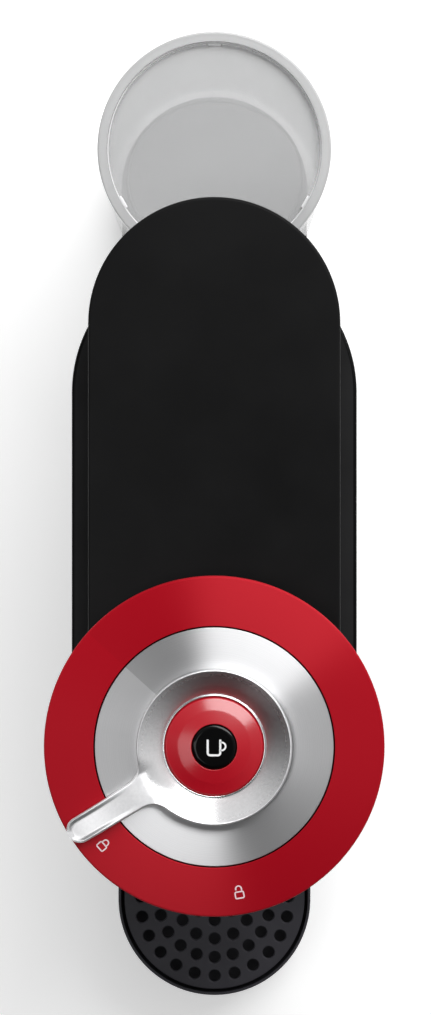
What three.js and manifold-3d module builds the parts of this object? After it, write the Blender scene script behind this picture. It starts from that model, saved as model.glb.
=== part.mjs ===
// A slim pod coffee machine: a base with a drip tray, a column, an overhanging brew housing, a long lifting arm
// with a round head and lock lever, and a clear water tank behind.
// Millimetres. +Z is up, the front (the drip tray) faces -Y, and the origin is on the table under the middle.
import * as THREE from "three";
import { mergeVertices } from "three/addons/utils/BufferGeometryUtils.js";
import Module from "manifold-3d";

const wasm = await Module();
wasm.setup();

// ---- driving dimensions -------------------------------------------------------------------------------------
const ROUND = 32; // segments of a large circle
const HEAD_ROUND = 48; // segments of the head's rings
const SMALL_ROUND = 16; // segments of a small circle
const TINY_ROUND = 8; // segments of a screw, pin or stem
const GAP = 0.3; // clearance between pieces that touch
const SLIDE_GAP = 0.6; // clearance round a piece that slides or turns
const WALL = 2.5; // wall of the housings
const THIN_WALL = 2; // wall of the tray, container and tank

const HEAD_Y = -81.5; // axis of the head, the lever and the spinning parts
const HEAD_RADIUS = 68; // red ring, the widest piece
const DIAL_RADIUS = 47.5; // outer edge of the silver dial
const HUB_RADIUS = 31; // lever hub
const CAP_RADIUS = 19.9; // red centre cap
const BUTTON_RADIUS = 8.7;
const BUTTON_TRAVEL = 1.2;

const FOOT_DROP = 2; // how far the feet stand below the base
const FOOT_RADIUS = 8;
const FOOT_HEIGHT = 4.5;
const BASE_TOP = 10; // top of the base under the column
const TONGUE_TOP = 8; // top of the base under the drip tray
const PLATFORM_TOP = 22; // top of the base under the tank
const PLATFORM_RADIUS = 44;

const COLUMN_RADIUS = 54;
const COLUMN_FRONT_Y = -14; // centre of the column's round front
const REAR_Y = 61.3; // centre of the round rear of column, brew housing and deck
const HOUSING_RADIUS = 58.7;
const HOUSING_BOTTOM = 130;
const DECK_BOTTOM = 200;
const DECK_TOP = 203;
const DECK_EDGE = 2.6; // rounding of the deck's rim

const ARM_RADIUS = 50.9;
const ARM_REAR_Y = 88.2; // centre of the arm's round rear end
const ARM_BOTTOM = 203.4;
const ARM_TOP = 228;
const HINGE_Y = 108;
const HINGE_Z = 213;
const HINGE_PIN_RADIUS = 2;
const HINGE_BORE_GAP = 0.1;
const LUG_RADIUS = 6;
const LUG_INNER_X = 10;
const LUG_WIDTH = 5;
const TAIL_RISE = 17; // how far the arm's underside climbs behind the hinge

const TRAY_Y = -169.4; // centre of the tray's round front
const TRAY_RADIUS = 44.9;
const TRAY_TOP = 38;
const GRID_RADIUS = 42.2;
const GRID_THICKNESS = 2.5;
const GRID_HOLE_RADIUS = 2.8;
const GRID_RING_PITCH = 8.65;
const GRID_RING_HOLES = [6, 12, 19, 23];
const GRID_CENTRE_Y = TRAY_Y - 1.4; // middle of the pattern of holes

const TANK_Y = 164.1;
const TANK_RADIUS = 49;
const TANK_TOP = 176; // top of the clear vessel
const LID_TOP = 182;
const LID_RIM = 4;
const PORT_Z = 33; // height of the tank's outlet

const CONTAINER_HALF_WIDTH = 36.5;
const CONTAINER_REAR_Y = 8;
const CONTAINER_BOTTOM = 40;
const CONTAINER_TOP = 121.5;
const CHUTE_HALF_WIDTH = 33;
const CHUTE_FRONT_Y = -37.5;
const CHUTE_REAR_Y = 6;

const CHAMBER_RADIUS = 37; // opening in the deck over the capsule holder
const HOLDER_RIM_Z = 190;
const HOLDER_RADIUS = 35;
const COLLECTOR_RADIUS = 43;
const COLLECTOR_BOTTOM = 148;
const COLLECTOR_TOP = 192;
const MOTOR_RADIUS = 24;
const MOTOR_HEIGHT = 12.5;
const SPOUT_Y = HEAD_Y - 35;
const SPOUT_RADIUS = 7;
const SPOUT_BORE = 4.5;
const SPOUT_BOTTOM = 124;

const LEVER_ANGLE = THREE.MathUtils.degToRad(211.5); // direction of the lever when locked
const LEVER_REACH = 62.6; // centre of the lever's round end
const LEVER_TIP_HALF = 5.3;
const LEVER_ROOT_HALF = 5.6;
const LEVER_FILLET = 9;
const LEVER_BOTTOM = 244;
const LEVER_TOP = 247;
const LEG_INNER = 23;
const LEG_OUTER = 26;
const LEG_ANGLE = 24; // degrees that each leg of the locking ring covers
const LEVER_TRAVEL = 60; // degrees from locked to unlocked

// ---- materials ----------------------------------------------------------------------------------------------
const finish = (color, roughness, metalness, extra = {}) =>
  new THREE.MeshStandardMaterial({ color, roughness, metalness, ...extra });
const MATTE_BLACK = finish(0x1c1c1d, 0.6, 0);
const GLOSS_BLACK = finish(0x060606, 0.12, 0);
const RED_METAL = finish(0xb0081c, 0.32, 1);
const SILVER = finish(0xd5d5d6, 0.28, 1);
const STEEL = finish(0xa9abad, 0.3, 1);
const CLEAR = finish(0xe6e8e9, 0.08, 0, { transparent: true, opacity: 0.3 });
const LIGHT_GREY = finish(0xc0c0c0, 0.5, 0);
const RUBBER = finish(0x2a2a2a, 0.9, 0);
const SILICONE = finish(0xd9d4ca, 0.6, 0);
const WHITE_PLASTIC = finish(0xdad9d4, 0.5, 0);
const BRASS = finish(0xb59a4e, 0.35, 1);
const BOARD_GREEN = finish(0x1c5a34, 0.5, 0);
const CAST_METAL = finish(0x9a9c9e, 0.55, 1);

// ---- shape helpers ------------------------------------------------------------------------------------------
// A closed three.js geometry as a solid that can be joined and cut.
function solid(geometry) {
  const flat = geometry.index ? geometry.toNonIndexed() : geometry;
  const bare = new THREE.BufferGeometry();
  bare.setAttribute("position", flat.getAttribute("position"));
  const merged = mergeVertices(bare, 1e-4);
  const triVerts = new Uint32Array(merged.index.array);
  const vertProperties = merged.attributes.position.array;
  return new wasm.Manifold(new wasm.Mesh({ numProp: 3, vertProperties, triVerts }));
}

function geometryOf(made) {
  const { vertProperties, triVerts } = made.getMesh();
  const geometry = new THREE.BufferGeometry();
  geometry.setAttribute("position", new THREE.BufferAttribute(vertProperties, 3));
  geometry.setIndex(new THREE.BufferAttribute(triVerts, 1));
  geometry.computeVertexNormals();
  return geometry;
}

const join = (first, ...others) => others.reduce((made, next) => made.add(next), first);
const cut = (first, ...others) => others.reduce((made, next) => made.subtract(next), first);
const common = (first, ...others) => others.reduce((made, next) => made.intersect(next), first);

function block(x0, x1, y0, y1, z0, z1) {
  const box = new THREE.BoxGeometry(x1 - x0, y1 - y0, z1 - z0);
  return solid(box.translate((x0 + x1) / 2, (y0 + y1) / 2, (z0 + z1) / 2));
}

// An upright cylinder.
function drum(x, y, z0, z1, radius, segments = ROUND) {
  const cylinder = new THREE.CylinderGeometry(radius, radius, z1 - z0, segments).rotateX(Math.PI / 2);
  return solid(cylinder.translate(x, y, (z0 + z1) / 2));
}

// A cylinder lying along X.
function rod(x0, x1, y, z, radius, segments = TINY_ROUND) {
  const cylinder = new THREE.CylinderGeometry(radius, radius, x1 - x0, segments).rotateZ(Math.PI / 2);
  return solid(cylinder.translate((x0 + x1) / 2, y, z));
}

// A cylinder lying along Y.
function barrel(x, y0, y1, z, radius, segments = SMALL_ROUND) {
  const cylinder = new THREE.CylinderGeometry(radius, radius, y1 - y0, segments);
  return solid(cylinder.translate(x, (y0 + y1) / 2, z));
}

// A turned piece about an upright axis. The outline is a list of [radius, z], either way round.
function turned(outline, x, y, segments = ROUND) {
  const area = outline.reduce((sum, [r, z], i) => {
    const [nextR, nextZ] = outline[(i + 1) % outline.length];
    return sum + r * nextZ - nextR * z;
  }, 0);
  const ordered = area > 0 ? [...outline] : [...outline].reverse();
  const onAxis = ordered.findIndex(([r], i) => r === 0 && ordered.at(i - 1)[0] === 0);
  const start = Math.max(onAxis, 0);
  const points = [...ordered.slice(start), ...ordered.slice(0, start)];
  if (onAxis < 0) points.push(points[0]);
  const profile = points.map(([r, z]) => new THREE.Vector2(r, z));
  return solid(new THREE.LatheGeometry(profile, segments).rotateX(Math.PI / 2).translate(x, y, 0));
}

// An upright stadium with round ends at yFront and yRear. The profile is a list of [radius, z] from bottom to top.
function pill(yFront, yRear, profile) {
  const half = ROUND / 2;
  const outline = [];
  for (let i = 0; i <= half; i++) outline.push([(Math.PI * i) / half, yRear]);
  for (let i = 0; i <= half; i++) outline.push([Math.PI + (Math.PI * i) / half, yFront]);
  const ring = ([radius, z]) =>
    outline.map(([a, y]) => new THREE.Vector3(radius * Math.cos(a), y + radius * Math.sin(a), z));
  const rings = profile.map(ring);
  const middle = (z) => new THREE.Vector3(0, (yFront + yRear) / 2, z);
  const corners = [];
  outline.forEach((_, i) => {
    const next = (i + 1) % outline.length;
    for (let k = 0; k + 1 < rings.length; k++) {
      const [low, high] = [rings[k], rings[k + 1]];
      corners.push(low[i], low[next], high[next], low[i], high[next], high[i]);
    }
    corners.push(middle(profile[0][1]), rings[0][next], rings[0][i]);
    corners.push(middle(profile.at(-1)[1]), rings.at(-1)[i], rings.at(-1)[next]);
  });
  return solid(new THREE.BufferGeometry().setFromPoints(corners));
}

const plainPill = (yFront, yRear, radius, z0, z1) =>
  pill(yFront, yRear, [
    [radius, z0],
    [radius, z1],
  ]);

// A round bar or hose along a smooth curve through the points.
function hose(points, radius, steps, sides = 8) {
  const section = new THREE.Shape().absarc(0, 0, radius, 0, 2 * Math.PI);
  const extrudePath = new THREE.CatmullRomCurve3(points.map((p) => new THREE.Vector3(...p)));
  const curveSegments = sides / 2;
  return solid(new THREE.ExtrudeGeometry(section, { steps, curveSegments, extrudePath, bevelEnabled: false }));
}

// A prism along X from a list of [y, z] corners, counter-clockwise seen from +X.
function sideProfile(corners, x0, x1) {
  const shape = new THREE.Shape(corners.map(([y, z]) => new THREE.Vector2(y, z)));
  const turn = new THREE.Matrix4().makeBasis(
    new THREE.Vector3(0, 1, 0),
    new THREE.Vector3(0, 0, 1),
    new THREE.Vector3(1, 0, 0),
  );
  const prism = new THREE.ExtrudeGeometry(shape, { depth: x1 - x0, bevelEnabled: false });
  return solid(prism.applyMatrix4(turn).translate(x0, 0, 0));
}

// A ring sector about the head's axis, from radius r0 to r1, centred on an angle in degrees.
function sector(r0, r1, z0, z1, centre, width) {
  const [from, to] = [centre - width / 2, centre + width / 2].map(THREE.MathUtils.degToRad);
  const shape = new THREE.Shape().absarc(0, 0, r1, from, to, false).absarc(0, 0, r0, to, from, true);
  const options = { depth: z1 - z0, bevelEnabled: false, curveSegments: 8 };
  return solid(new THREE.ExtrudeGeometry(shape, options).translate(0, HEAD_Y, z0));
}

// A helical spring about an axis along Z through (x, y).
function coil(x, y, z0, z1, radius, wire, turns) {
  const points = [];
  for (let i = 0; i <= turns * 8; i++) {
    const a = (i * Math.PI) / 4;
    const z = z0 + wire + ((z1 - z0 - 2 * wire) * i) / (turns * 8);
    points.push([x + radius * Math.cos(a), y + radius * Math.sin(a), z]);
  }
  return hose(points, wire, turns * 8, 4);
}

// ---- base ---------------------------------------------------------------------------------------------------
const FOOT_PLACES = [
  ["foot_front_left", -26, TRAY_Y - 11],
  ["foot_front_right", 26, TRAY_Y - 11],
  ["foot_rear_left", -26, TANK_Y + 12],
  ["foot_rear_right", 26, TANK_Y + 12],
];
const SCREW_X = COLUMN_RADIUS - 7;
const SCREW_PLACES = [
  ["base_screw_front_left", -SCREW_X, COLUMN_FRONT_Y + 4],
  ["base_screw_front_right", SCREW_X, COLUMN_FRONT_Y + 4],
  ["base_screw_rear_left", -SCREW_X, REAR_Y - 4],
  ["base_screw_rear_right", SCREW_X, REAR_Y - 4],
];
const SCREW_SHANK = 1.6;
const SCREW_HEAD = 3.4;
const SCREW_LENGTH = 16;
const SHELF_THICKNESS = 3;

function basePlate() {
  const skin = 2.5;
  const tongueInset = 2.3;
  const tongueRadius = TRAY_RADIUS - tongueInset;
  const footprint = (inset, low, tongueTop, baseTop, platformTop) =>
    join(
      plainPill(TRAY_Y, COLUMN_FRONT_Y, tongueRadius - inset, low, tongueTop),
      plainPill(COLUMN_FRONT_Y, REAR_Y, COLUMN_RADIUS - inset, low, baseTop),
      plainPill(REAR_Y, TANK_Y, PLATFORM_RADIUS - inset, low, baseTop),
      drum(0, TANK_Y, low, platformTop, PLATFORM_RADIUS - inset),
    );
  const outside = footprint(0, FOOT_DROP, TONGUE_TOP, BASE_TOP, PLATFORM_TOP);
  const inside = footprint(skin, FOOT_DROP - 1, TONGUE_TOP - skin, BASE_TOP - skin, PLATFORM_TOP - skin);
  const bosses = FOOT_PLACES.map(([, x, y]) => {
    const top = y < 0 ? TONGUE_TOP : PLATFORM_TOP;
    return drum(x, y, FOOT_DROP, top - 1, FOOT_RADIUS + 2, SMALL_ROUND);
  });
  const pockets = FOOT_PLACES.map(([, x, y]) =>
    drum(x, y, FOOT_DROP - 1, FOOT_HEIGHT + GAP, FOOT_RADIUS + GAP, SMALL_ROUND),
  );
  const screwHoles = SCREW_PLACES.map(([, x, y]) =>
    drum(x, y, FOOT_DROP - 1, BASE_TOP + 1, SCREW_SHANK + GAP, TINY_ROUND),
  );
  return cut(join(cut(outside, inside), ...bosses), ...pockets, ...screwHoles);
}

const foot = (x, y) => drum(x, y, 0, FOOT_HEIGHT, FOOT_RADIUS, SMALL_ROUND);

function baseScrew(x, y) {
  const headTop = BASE_TOP - WALL - GAP;
  return join(
    drum(x, y, headTop - 2.2, headTop, SCREW_HEAD, TINY_ROUND),
    drum(x, y, headTop - 0.5, headTop + SCREW_LENGTH, SCREW_SHANK, TINY_ROUND),
  );
}

// ---- column and brew housing --------------------------------------------------------------------------------
function columnHousing() {
  const [low, high] = [BASE_TOP + GAP, HOUSING_BOTTOM];
  const outside = plainPill(COLUMN_FRONT_Y, REAR_Y, COLUMN_RADIUS, low, high);
  const inside = plainPill(COLUMN_FRONT_Y, REAR_Y, COLUMN_RADIUS - WALL, low - 1, high + 1);
  const shelfTop = CONTAINER_BOTTOM - GAP;
  const shelf = common(
    block(-COLUMN_RADIUS, COLUMN_RADIUS, COLUMN_FRONT_Y - COLUMN_RADIUS, 12, shelfTop - SHELF_THICKNESS, shelfTop),
    plainPill(COLUMN_FRONT_Y, REAR_Y, COLUMN_RADIUS - 1, 0, high),
  );
  const bosses = SCREW_PLACES.map(([, x, y]) => drum(x, y, low, low + 18, 5, TINY_ROUND));
  const bossHoles = SCREW_PLACES.map(([, x, y]) => drum(x, y, low - 1, low + 15, SCREW_SHANK + GAP, TINY_ROUND));
  const sideGap = CONTAINER_HALF_WIDTH + SLIDE_GAP;
  const doorway = block(-sideGap, sideGap, -200, COLUMN_FRONT_Y, shelfTop, CONTAINER_TOP + SLIDE_GAP);
  const portHole = barrel(0, REAR_Y, TANK_Y, PORT_Z, SOCKET_RADIUS + GAP);
  const cordHole = barrel(CORD_X, REAR_Y, TANK_Y, CORD_Z, GROMMET_NECK + GAP);
  return cut(join(cut(outside, inside), shelf, ...bosses), ...bossHoles, doorway, portHole, cordHole);
}

function brewHousing() {
  const [low, high] = [HOUSING_BOTTOM + GAP, DECK_BOTTOM - GAP];
  const edge = 3;
  const outside = pill(HEAD_Y, REAR_Y, [
    [HOUSING_RADIUS - edge, low],
    [HOUSING_RADIUS - 0.8, low + 0.9],
    [HOUSING_RADIUS, low + edge],
    [HOUSING_RADIUS, high],
  ]);
  const inside = plainPill(HEAD_Y, REAR_Y, HOUSING_RADIUS - WALL, low + WALL, high + 1);
  const passage = plainPill(COLUMN_FRONT_Y, REAR_Y, COLUMN_RADIUS - WALL - 1, low - 1, low + WALL + 1);
  const spoutHole = drum(0, SPOUT_Y, low - 1, low + WALL + 1, SPOUT_RADIUS + GAP, SMALL_ROUND);
  return cut(outside, inside, passage, spoutHole);
}

// The deck closes the brew housing. It carries the hinge lugs, and opens over the capsule holder and the chute.
function deck() {
  const plate = pill(HEAD_Y, REAR_Y, [
    [HOUSING_RADIUS, DECK_BOTTOM],
    [HOUSING_RADIUS, DECK_BOTTOM + 0.6],
    [HOUSING_RADIUS - 0.9, DECK_TOP - 0.8],
    [HOUSING_RADIUS - DECK_EDGE, DECK_TOP],
  ]);
  const chamber = drum(0, HEAD_Y, DECK_BOTTOM - 1, DECK_TOP + 1, CHAMBER_RADIUS);
  const slotHalf = CHUTE_HALF_WIDTH - THIN_WALL;
  const slot = block(-slotHalf, slotHalf, HEAD_Y, CHUTE_REAR_Y - THIN_WALL, DECK_BOTTOM - 1, DECK_TOP + 1);
  const lugs = [-1, 1].map((side) => {
    const [x0, x1] = [LUG_INNER_X, LUG_INNER_X + LUG_WIDTH].map((x) => side * x).sort((a, b) => a - b);
    return join(
      rod(x0, x1, HINGE_Y, HINGE_Z, LUG_RADIUS, SMALL_ROUND),
      block(x0, x1, HINGE_Y - LUG_RADIUS, HINGE_Y + LUG_RADIUS, DECK_BOTTOM + 1, HINGE_Z),
    );
  });
  const bore = rod(-40, 40, HINGE_Y, HINGE_Z, HINGE_PIN_RADIUS + HINGE_BORE_GAP);
  const hoseHole = drum(HOSE_X, HINGE_Y - 6, DECK_BOTTOM - 1, DECK_TOP + 1, HOSE_RADIUS + 2, TINY_ROUND);
  return cut(join(plate, ...lugs), chamber, slot, bore, hoseHole);
}

function capsuleChute() {
  const [low, high] = [CONTAINER_TOP + 2, DECK_BOTTOM - GAP];
  const inner = CHUTE_HALF_WIDTH - THIN_WALL;
  return cut(
    block(-CHUTE_HALF_WIDTH, CHUTE_HALF_WIDTH, CHUTE_FRONT_Y, CHUTE_REAR_Y, low, high),
    block(-inner, inner, CHUTE_FRONT_Y + THIN_WALL, CHUTE_REAR_Y - THIN_WALL, low - 1, high + 1),
  );
}

// ---- brewing parts in the housing ---------------------------------------------------------------------------
const SHAFT_RADIUS = 4;
const MOTOR_BOTTOM = HOUSING_BOTTOM + WALL + 2 * GAP;

const spinMotor = () =>
  turned(
    [
      [SHAFT_RADIUS + SLIDE_GAP, MOTOR_BOTTOM],
      [MOTOR_RADIUS - 2, MOTOR_BOTTOM],
      [MOTOR_RADIUS, MOTOR_BOTTOM + 2],
      [MOTOR_RADIUS, MOTOR_BOTTOM + MOTOR_HEIGHT - 2],
      [MOTOR_RADIUS - 2, MOTOR_BOTTOM + MOTOR_HEIGHT],
      [SHAFT_RADIUS + SLIDE_GAP, MOTOR_BOTTOM + MOTOR_HEIGHT],
    ],
    0,
    HEAD_Y,
    SMALL_ROUND,
  );

const HOLDER_BOTTOM = COLLECTOR_BOTTOM + THIN_WALL + 2;
const motorShaft = () => drum(0, HEAD_Y, MOTOR_BOTTOM + 1, HOLDER_BOTTOM - GAP, SHAFT_RADIUS, TINY_ROUND);

// The cup that carries the capsule by its rim and spins with it.
const capsuleHolder = () =>
  turned(
    [
      [0, HOLDER_BOTTOM],
      [24, HOLDER_BOTTOM],
      [32, HOLDER_RIM_Z - 9],
      [HOLDER_RADIUS, HOLDER_RIM_Z - 4],
      [HOLDER_RADIUS, HOLDER_RIM_Z],
      [31, HOLDER_RIM_Z],
      [31, HOLDER_RIM_Z - 1.5],
      [28.5, HOLDER_RIM_Z - 1.5],
      [22, HOLDER_BOTTOM + 6],
      [12, HOLDER_BOTTOM + 3],
      [0, HOLDER_BOTTOM + 3],
    ],
    0,
    HEAD_Y,
  );

// The bowl round the spinning holder that catches the coffee and lets it out over the spout.
function coffeeCollector() {
  const shaftHole = 12;
  const bowl = turned(
    [
      [shaftHole, COLLECTOR_BOTTOM],
      [COLLECTOR_RADIUS, COLLECTOR_BOTTOM],
      [COLLECTOR_RADIUS, COLLECTOR_TOP],
      [COLLECTOR_RADIUS - THIN_WALL, COLLECTOR_TOP],
      [COLLECTOR_RADIUS - THIN_WALL, COLLECTOR_BOTTOM + THIN_WALL],
      [shaftHole, COLLECTOR_BOTTOM + THIN_WALL],
    ],
    0,
    HEAD_Y,
  );
  const outlet = drum(0, SPOUT_Y, COLLECTOR_BOTTOM - 1, COLLECTOR_BOTTOM + THIN_WALL + 1, SPOUT_BORE, SMALL_ROUND);
  return cut(bowl, outlet);
}

const coffeeSpout = () =>
  turned(
    [
      [SPOUT_BORE, COLLECTOR_BOTTOM - GAP],
      [SPOUT_RADIUS, COLLECTOR_BOTTOM - GAP],
      [SPOUT_RADIUS, SPOUT_BOTTOM + 5],
      [SPOUT_RADIUS - 1.5, SPOUT_BOTTOM],
      [SPOUT_BORE - 1, SPOUT_BOTTOM],
      [SPOUT_BORE, SPOUT_BOTTOM + 5],
    ],
    0,
    SPOUT_Y,
    SMALL_ROUND,
  );

const latchCollar = () =>
  turned(
    [
      [CHAMBER_RADIUS, COLLECTOR_TOP + 1.5],
      [COLLECTOR_RADIUS, COLLECTOR_TOP + 1.5],
      [COLLECTOR_RADIUS, DECK_BOTTOM - GAP],
      [CHAMBER_RADIUS, DECK_BOTTOM - GAP],
    ],
    0,
    HEAD_Y,
  );

// Reads the code printed round the capsule's rim as it turns.
const codeReader = () =>
  block(COLLECTOR_RADIUS + 1.5, COLLECTOR_RADIUS + 10, HEAD_Y - 8, HEAD_Y + 8, COLLECTOR_TOP - 12, COLLECTOR_TOP + 3);

// ---- water and power parts ----------------------------------------------------------------------------------
const SOCKET_RADIUS = 9;
const SOCKET_BORE = 6.6;
const SOCKET_FRONT_Y = 94;
const NOZZLE_RADIUS = 6;
const NOZZLE_BORE = 4.2;
const CORD_X = -26;
const CORD_Z = 24;
const GROMMET_NECK = 6;
const HOSE_RADIUS = 2.5;
const HOSE_X = -31;
const FLOW_METER_Y = 66;
const FLOW_METER_RADIUS = 11;
const PUMP_X = -24;
const PUMP_Y = 42;
const PUMP_LOW = 52;
const PUMP_HIGH = 118;
const PUMP_RADIUS = 16;
const HEATER = { x: 30, front: 14, rear: 74, low: 146, high: 182 };
const BOARD = { x: 40, front: 22, rear: 84, low: 30, high: 112 };

// The column's fixed port: the tank's nozzle slides into it.
function tankSocket() {
  const rear = REAR_Y + COLUMN_RADIUS - GAP;
  const body = join(
    barrel(0, SOCKET_FRONT_Y, rear, PORT_Z, SOCKET_RADIUS),
    barrel(0, SOCKET_FRONT_Y - 5, SOCKET_FRONT_Y + 1, PORT_Z, HOSE_RADIUS + 1.5, TINY_ROUND),
  );
  const floor = SOCKET_FRONT_Y + 3;
  const pin = barrel(0, floor - 1, POPPET_Y - GAP, PORT_Z, 1.4, TINY_ROUND);
  return join(cut(body, barrel(0, floor, rear + 1, PORT_Z, SOCKET_BORE)), pin);
}

// A stepped rubber ring that lines the power cord's way in.
function cordGrommet() {
  const rear = REAR_Y + Math.sqrt(COLUMN_RADIUS ** 2 - CORD_X ** 2);
  const body = join(
    barrel(CORD_X, rear - 10, rear + 5, CORD_Z, GROMMET_NECK, TINY_ROUND),
    barrel(CORD_X, rear + 4.2, rear + 6.5, CORD_Z, GROMMET_NECK + 2, SMALL_ROUND),
  );
  return cut(body, barrel(CORD_X, rear - 11, rear + 8, CORD_Z, 3.6, TINY_ROUND));
}

const flowMeter = () =>
  join(
    drum(0, FLOW_METER_Y, PORT_Z - 7, PORT_Z + 7, FLOW_METER_RADIUS, SMALL_ROUND),
    barrel(0, FLOW_METER_Y + FLOW_METER_RADIUS - 1, FLOW_METER_Y + FLOW_METER_RADIUS + 4, PORT_Z, 3, TINY_ROUND),
    barrel(0, FLOW_METER_Y - FLOW_METER_RADIUS - 4, FLOW_METER_Y - FLOW_METER_RADIUS + 1, PORT_Z, 3, TINY_ROUND),
  );

const pump = () =>
  turned(
    [
      [0, PUMP_LOW],
      [4, PUMP_LOW],
      [4, PUMP_LOW + 10],
      [10, PUMP_LOW + 10],
      [10, PUMP_LOW + 16],
      [PUMP_RADIUS, PUMP_LOW + 16],
      [PUMP_RADIUS, PUMP_HIGH - 20],
      [9, PUMP_HIGH - 20],
      [9, PUMP_HIGH - 8],
      [3.5, PUMP_HIGH - 8],
      [3.5, PUMP_HIGH],
      [0, PUMP_HIGH],
    ],
    PUMP_X,
    PUMP_Y,
    SMALL_ROUND,
  );

const pumpMount = (innerRadius, z0, z1) =>
  cut(
    drum(PUMP_X, PUMP_Y, z0, z1, innerRadius + 5, SMALL_ROUND),
    drum(PUMP_X, PUMP_Y, z0 - 1, z1 + 1, innerRadius + GAP, SMALL_ROUND),
  );

// Two plates on the column's wall hold the pump's rubber mounts.
function pumpBracket() {
  const plate = (z, hole) =>
    cut(
      block(-COLUMN_RADIUS + WALL + 0.5, PUMP_X + 16, PUMP_Y - 15, PUMP_Y + 15, z, z + 2),
      drum(PUMP_X, PUMP_Y, z - 1, z + 3, hole, SMALL_ROUND),
    );
  const wallX = -COLUMN_RADIUS + WALL + 0.5;
  const [low, high] = [PUMP_LOW + 6, PUMP_HIGH - 5];
  return join(
    plate(low, 5),
    plate(high, 5),
    block(wallX, wallX + 2, PUMP_Y - 15, PUMP_Y + 15, low, high + 2),
  );
}

function heater() {
  const { x, front, rear, low, high } = HEATER;
  const middle = (front + rear) / 2;
  const core = pill(front + x, rear - x + 8, [
    [x - 2, low],
    [x, low + 2],
    [x, high - 2],
    [x - 2, high],
  ]);
  return join(
    core,
    drum(-12, middle, high - 1, high + 6, 4, TINY_ROUND),
    drum(-16, middle, low - 8, low + 1, 4, TINY_ROUND),
    drum(14, middle, high - 1, high + 4, 8, SMALL_ROUND),
  );
}

function controlBoard() {
  const { x, front, rear, low, high } = BOARD;
  return join(
    block(x, x + 1.6, front, rear, low, high),
    block(x - 14, x + 0.5, front + 6, front + 30, low + 8, low + 32),
    block(x - 9, x + 0.5, rear - 22, rear - 6, low + 12, low + 30),
    block(x - 6, x + 0.5, front + 8, rear - 10, high - 16, high - 8),
    rod(x - 14, x + 0.5, rear - 14, low + 46, 6, TINY_ROUND),
  );
}

const tankHose = () =>
  hose(
    [
      [0, SOCKET_FRONT_Y - 5.6, PORT_Z],
      [0, FLOW_METER_Y + FLOW_METER_RADIUS + 4.6, PORT_Z],
    ],
    HOSE_RADIUS,
    2,
  );

const suctionHose = () =>
  hose(
    [
      [0, FLOW_METER_Y - FLOW_METER_RADIUS - 4.8, PORT_Z],
      [-0.2, FLOW_METER_Y - FLOW_METER_RADIUS - 7, PORT_Z],
      [-12, PUMP_Y, PORT_Z - 1],
      [PUMP_X + 3, PUMP_Y, PORT_Z + 3],
      [PUMP_X, PUMP_Y, PUMP_LOW - 6],
      [PUMP_X, PUMP_Y, PUMP_LOW - 0.5],
    ],
    HOSE_RADIUS,
    16,
  );

const pressureHose = () =>
  hose(
    [
      [PUMP_X, PUMP_Y, PUMP_HIGH + 0.5],
      [PUMP_X, PUMP_Y, PUMP_HIGH + 5],
      [-20, 43, 128],
      [-16, (HEATER.front + HEATER.rear) / 2, HEATER.low - 12],
      [-16, (HEATER.front + HEATER.rear) / 2, HEATER.low - 8.5],
    ],
    HOSE_RADIUS,
    14,
  );

// The hot-water hose leaves the heater and ends on the hinge axis, where the arm's own hose takes over.
const brewHose = () =>
  hose(
    [
      [-12, (HEATER.front + HEATER.rear) / 2, HEATER.high + 6.5],
      [-12, (HEATER.front + HEATER.rear) / 2 + 0.5, HEATER.high + 8.5],
      [-17, 54, HEATER.high + 12],
      [HOSE_X, HINGE_Y - 20, HEATER.high + 12],
      [HOSE_X, HINGE_Y - 9, HEATER.high + 14],
      [HOSE_X, HINGE_Y - 5, DECK_TOP],
      [HOSE_X, HINGE_Y - 4, HINGE_Z - 5],
      [HOSE_X + 0.6, HINGE_Y - 0.5, HINGE_Z - 0.3],
      [HOSE_X + 3, HINGE_Y, HINGE_Z],
    ],
    HOSE_RADIUS - 0.5,
    26,
  );

// ---- lifting arm --------------------------------------------------------------------------------------------
const TAIL_START_Y = HINGE_Y - 4;
const TAIL_END_Y = ARM_REAR_Y + ARM_RADIUS + 5;
const RIB_INNER_X = LUG_INNER_X + LUG_WIDTH + SLIDE_GAP;
const RIB_WIDTH = 4;

// Everything under the arm's rising tail, lifted by a height.
const underTail = (lift, halfWidth) =>
  sideProfile(
    [
      [TAIL_START_Y, ARM_BOTTOM - 20],
      [TAIL_END_Y, ARM_BOTTOM - 20],
      [TAIL_END_Y, ARM_BOTTOM + TAIL_RISE + lift],
      [TAIL_START_Y, ARM_BOTTOM + lift],
    ],
    -halfWidth,
    halfWidth,
  );

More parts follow.
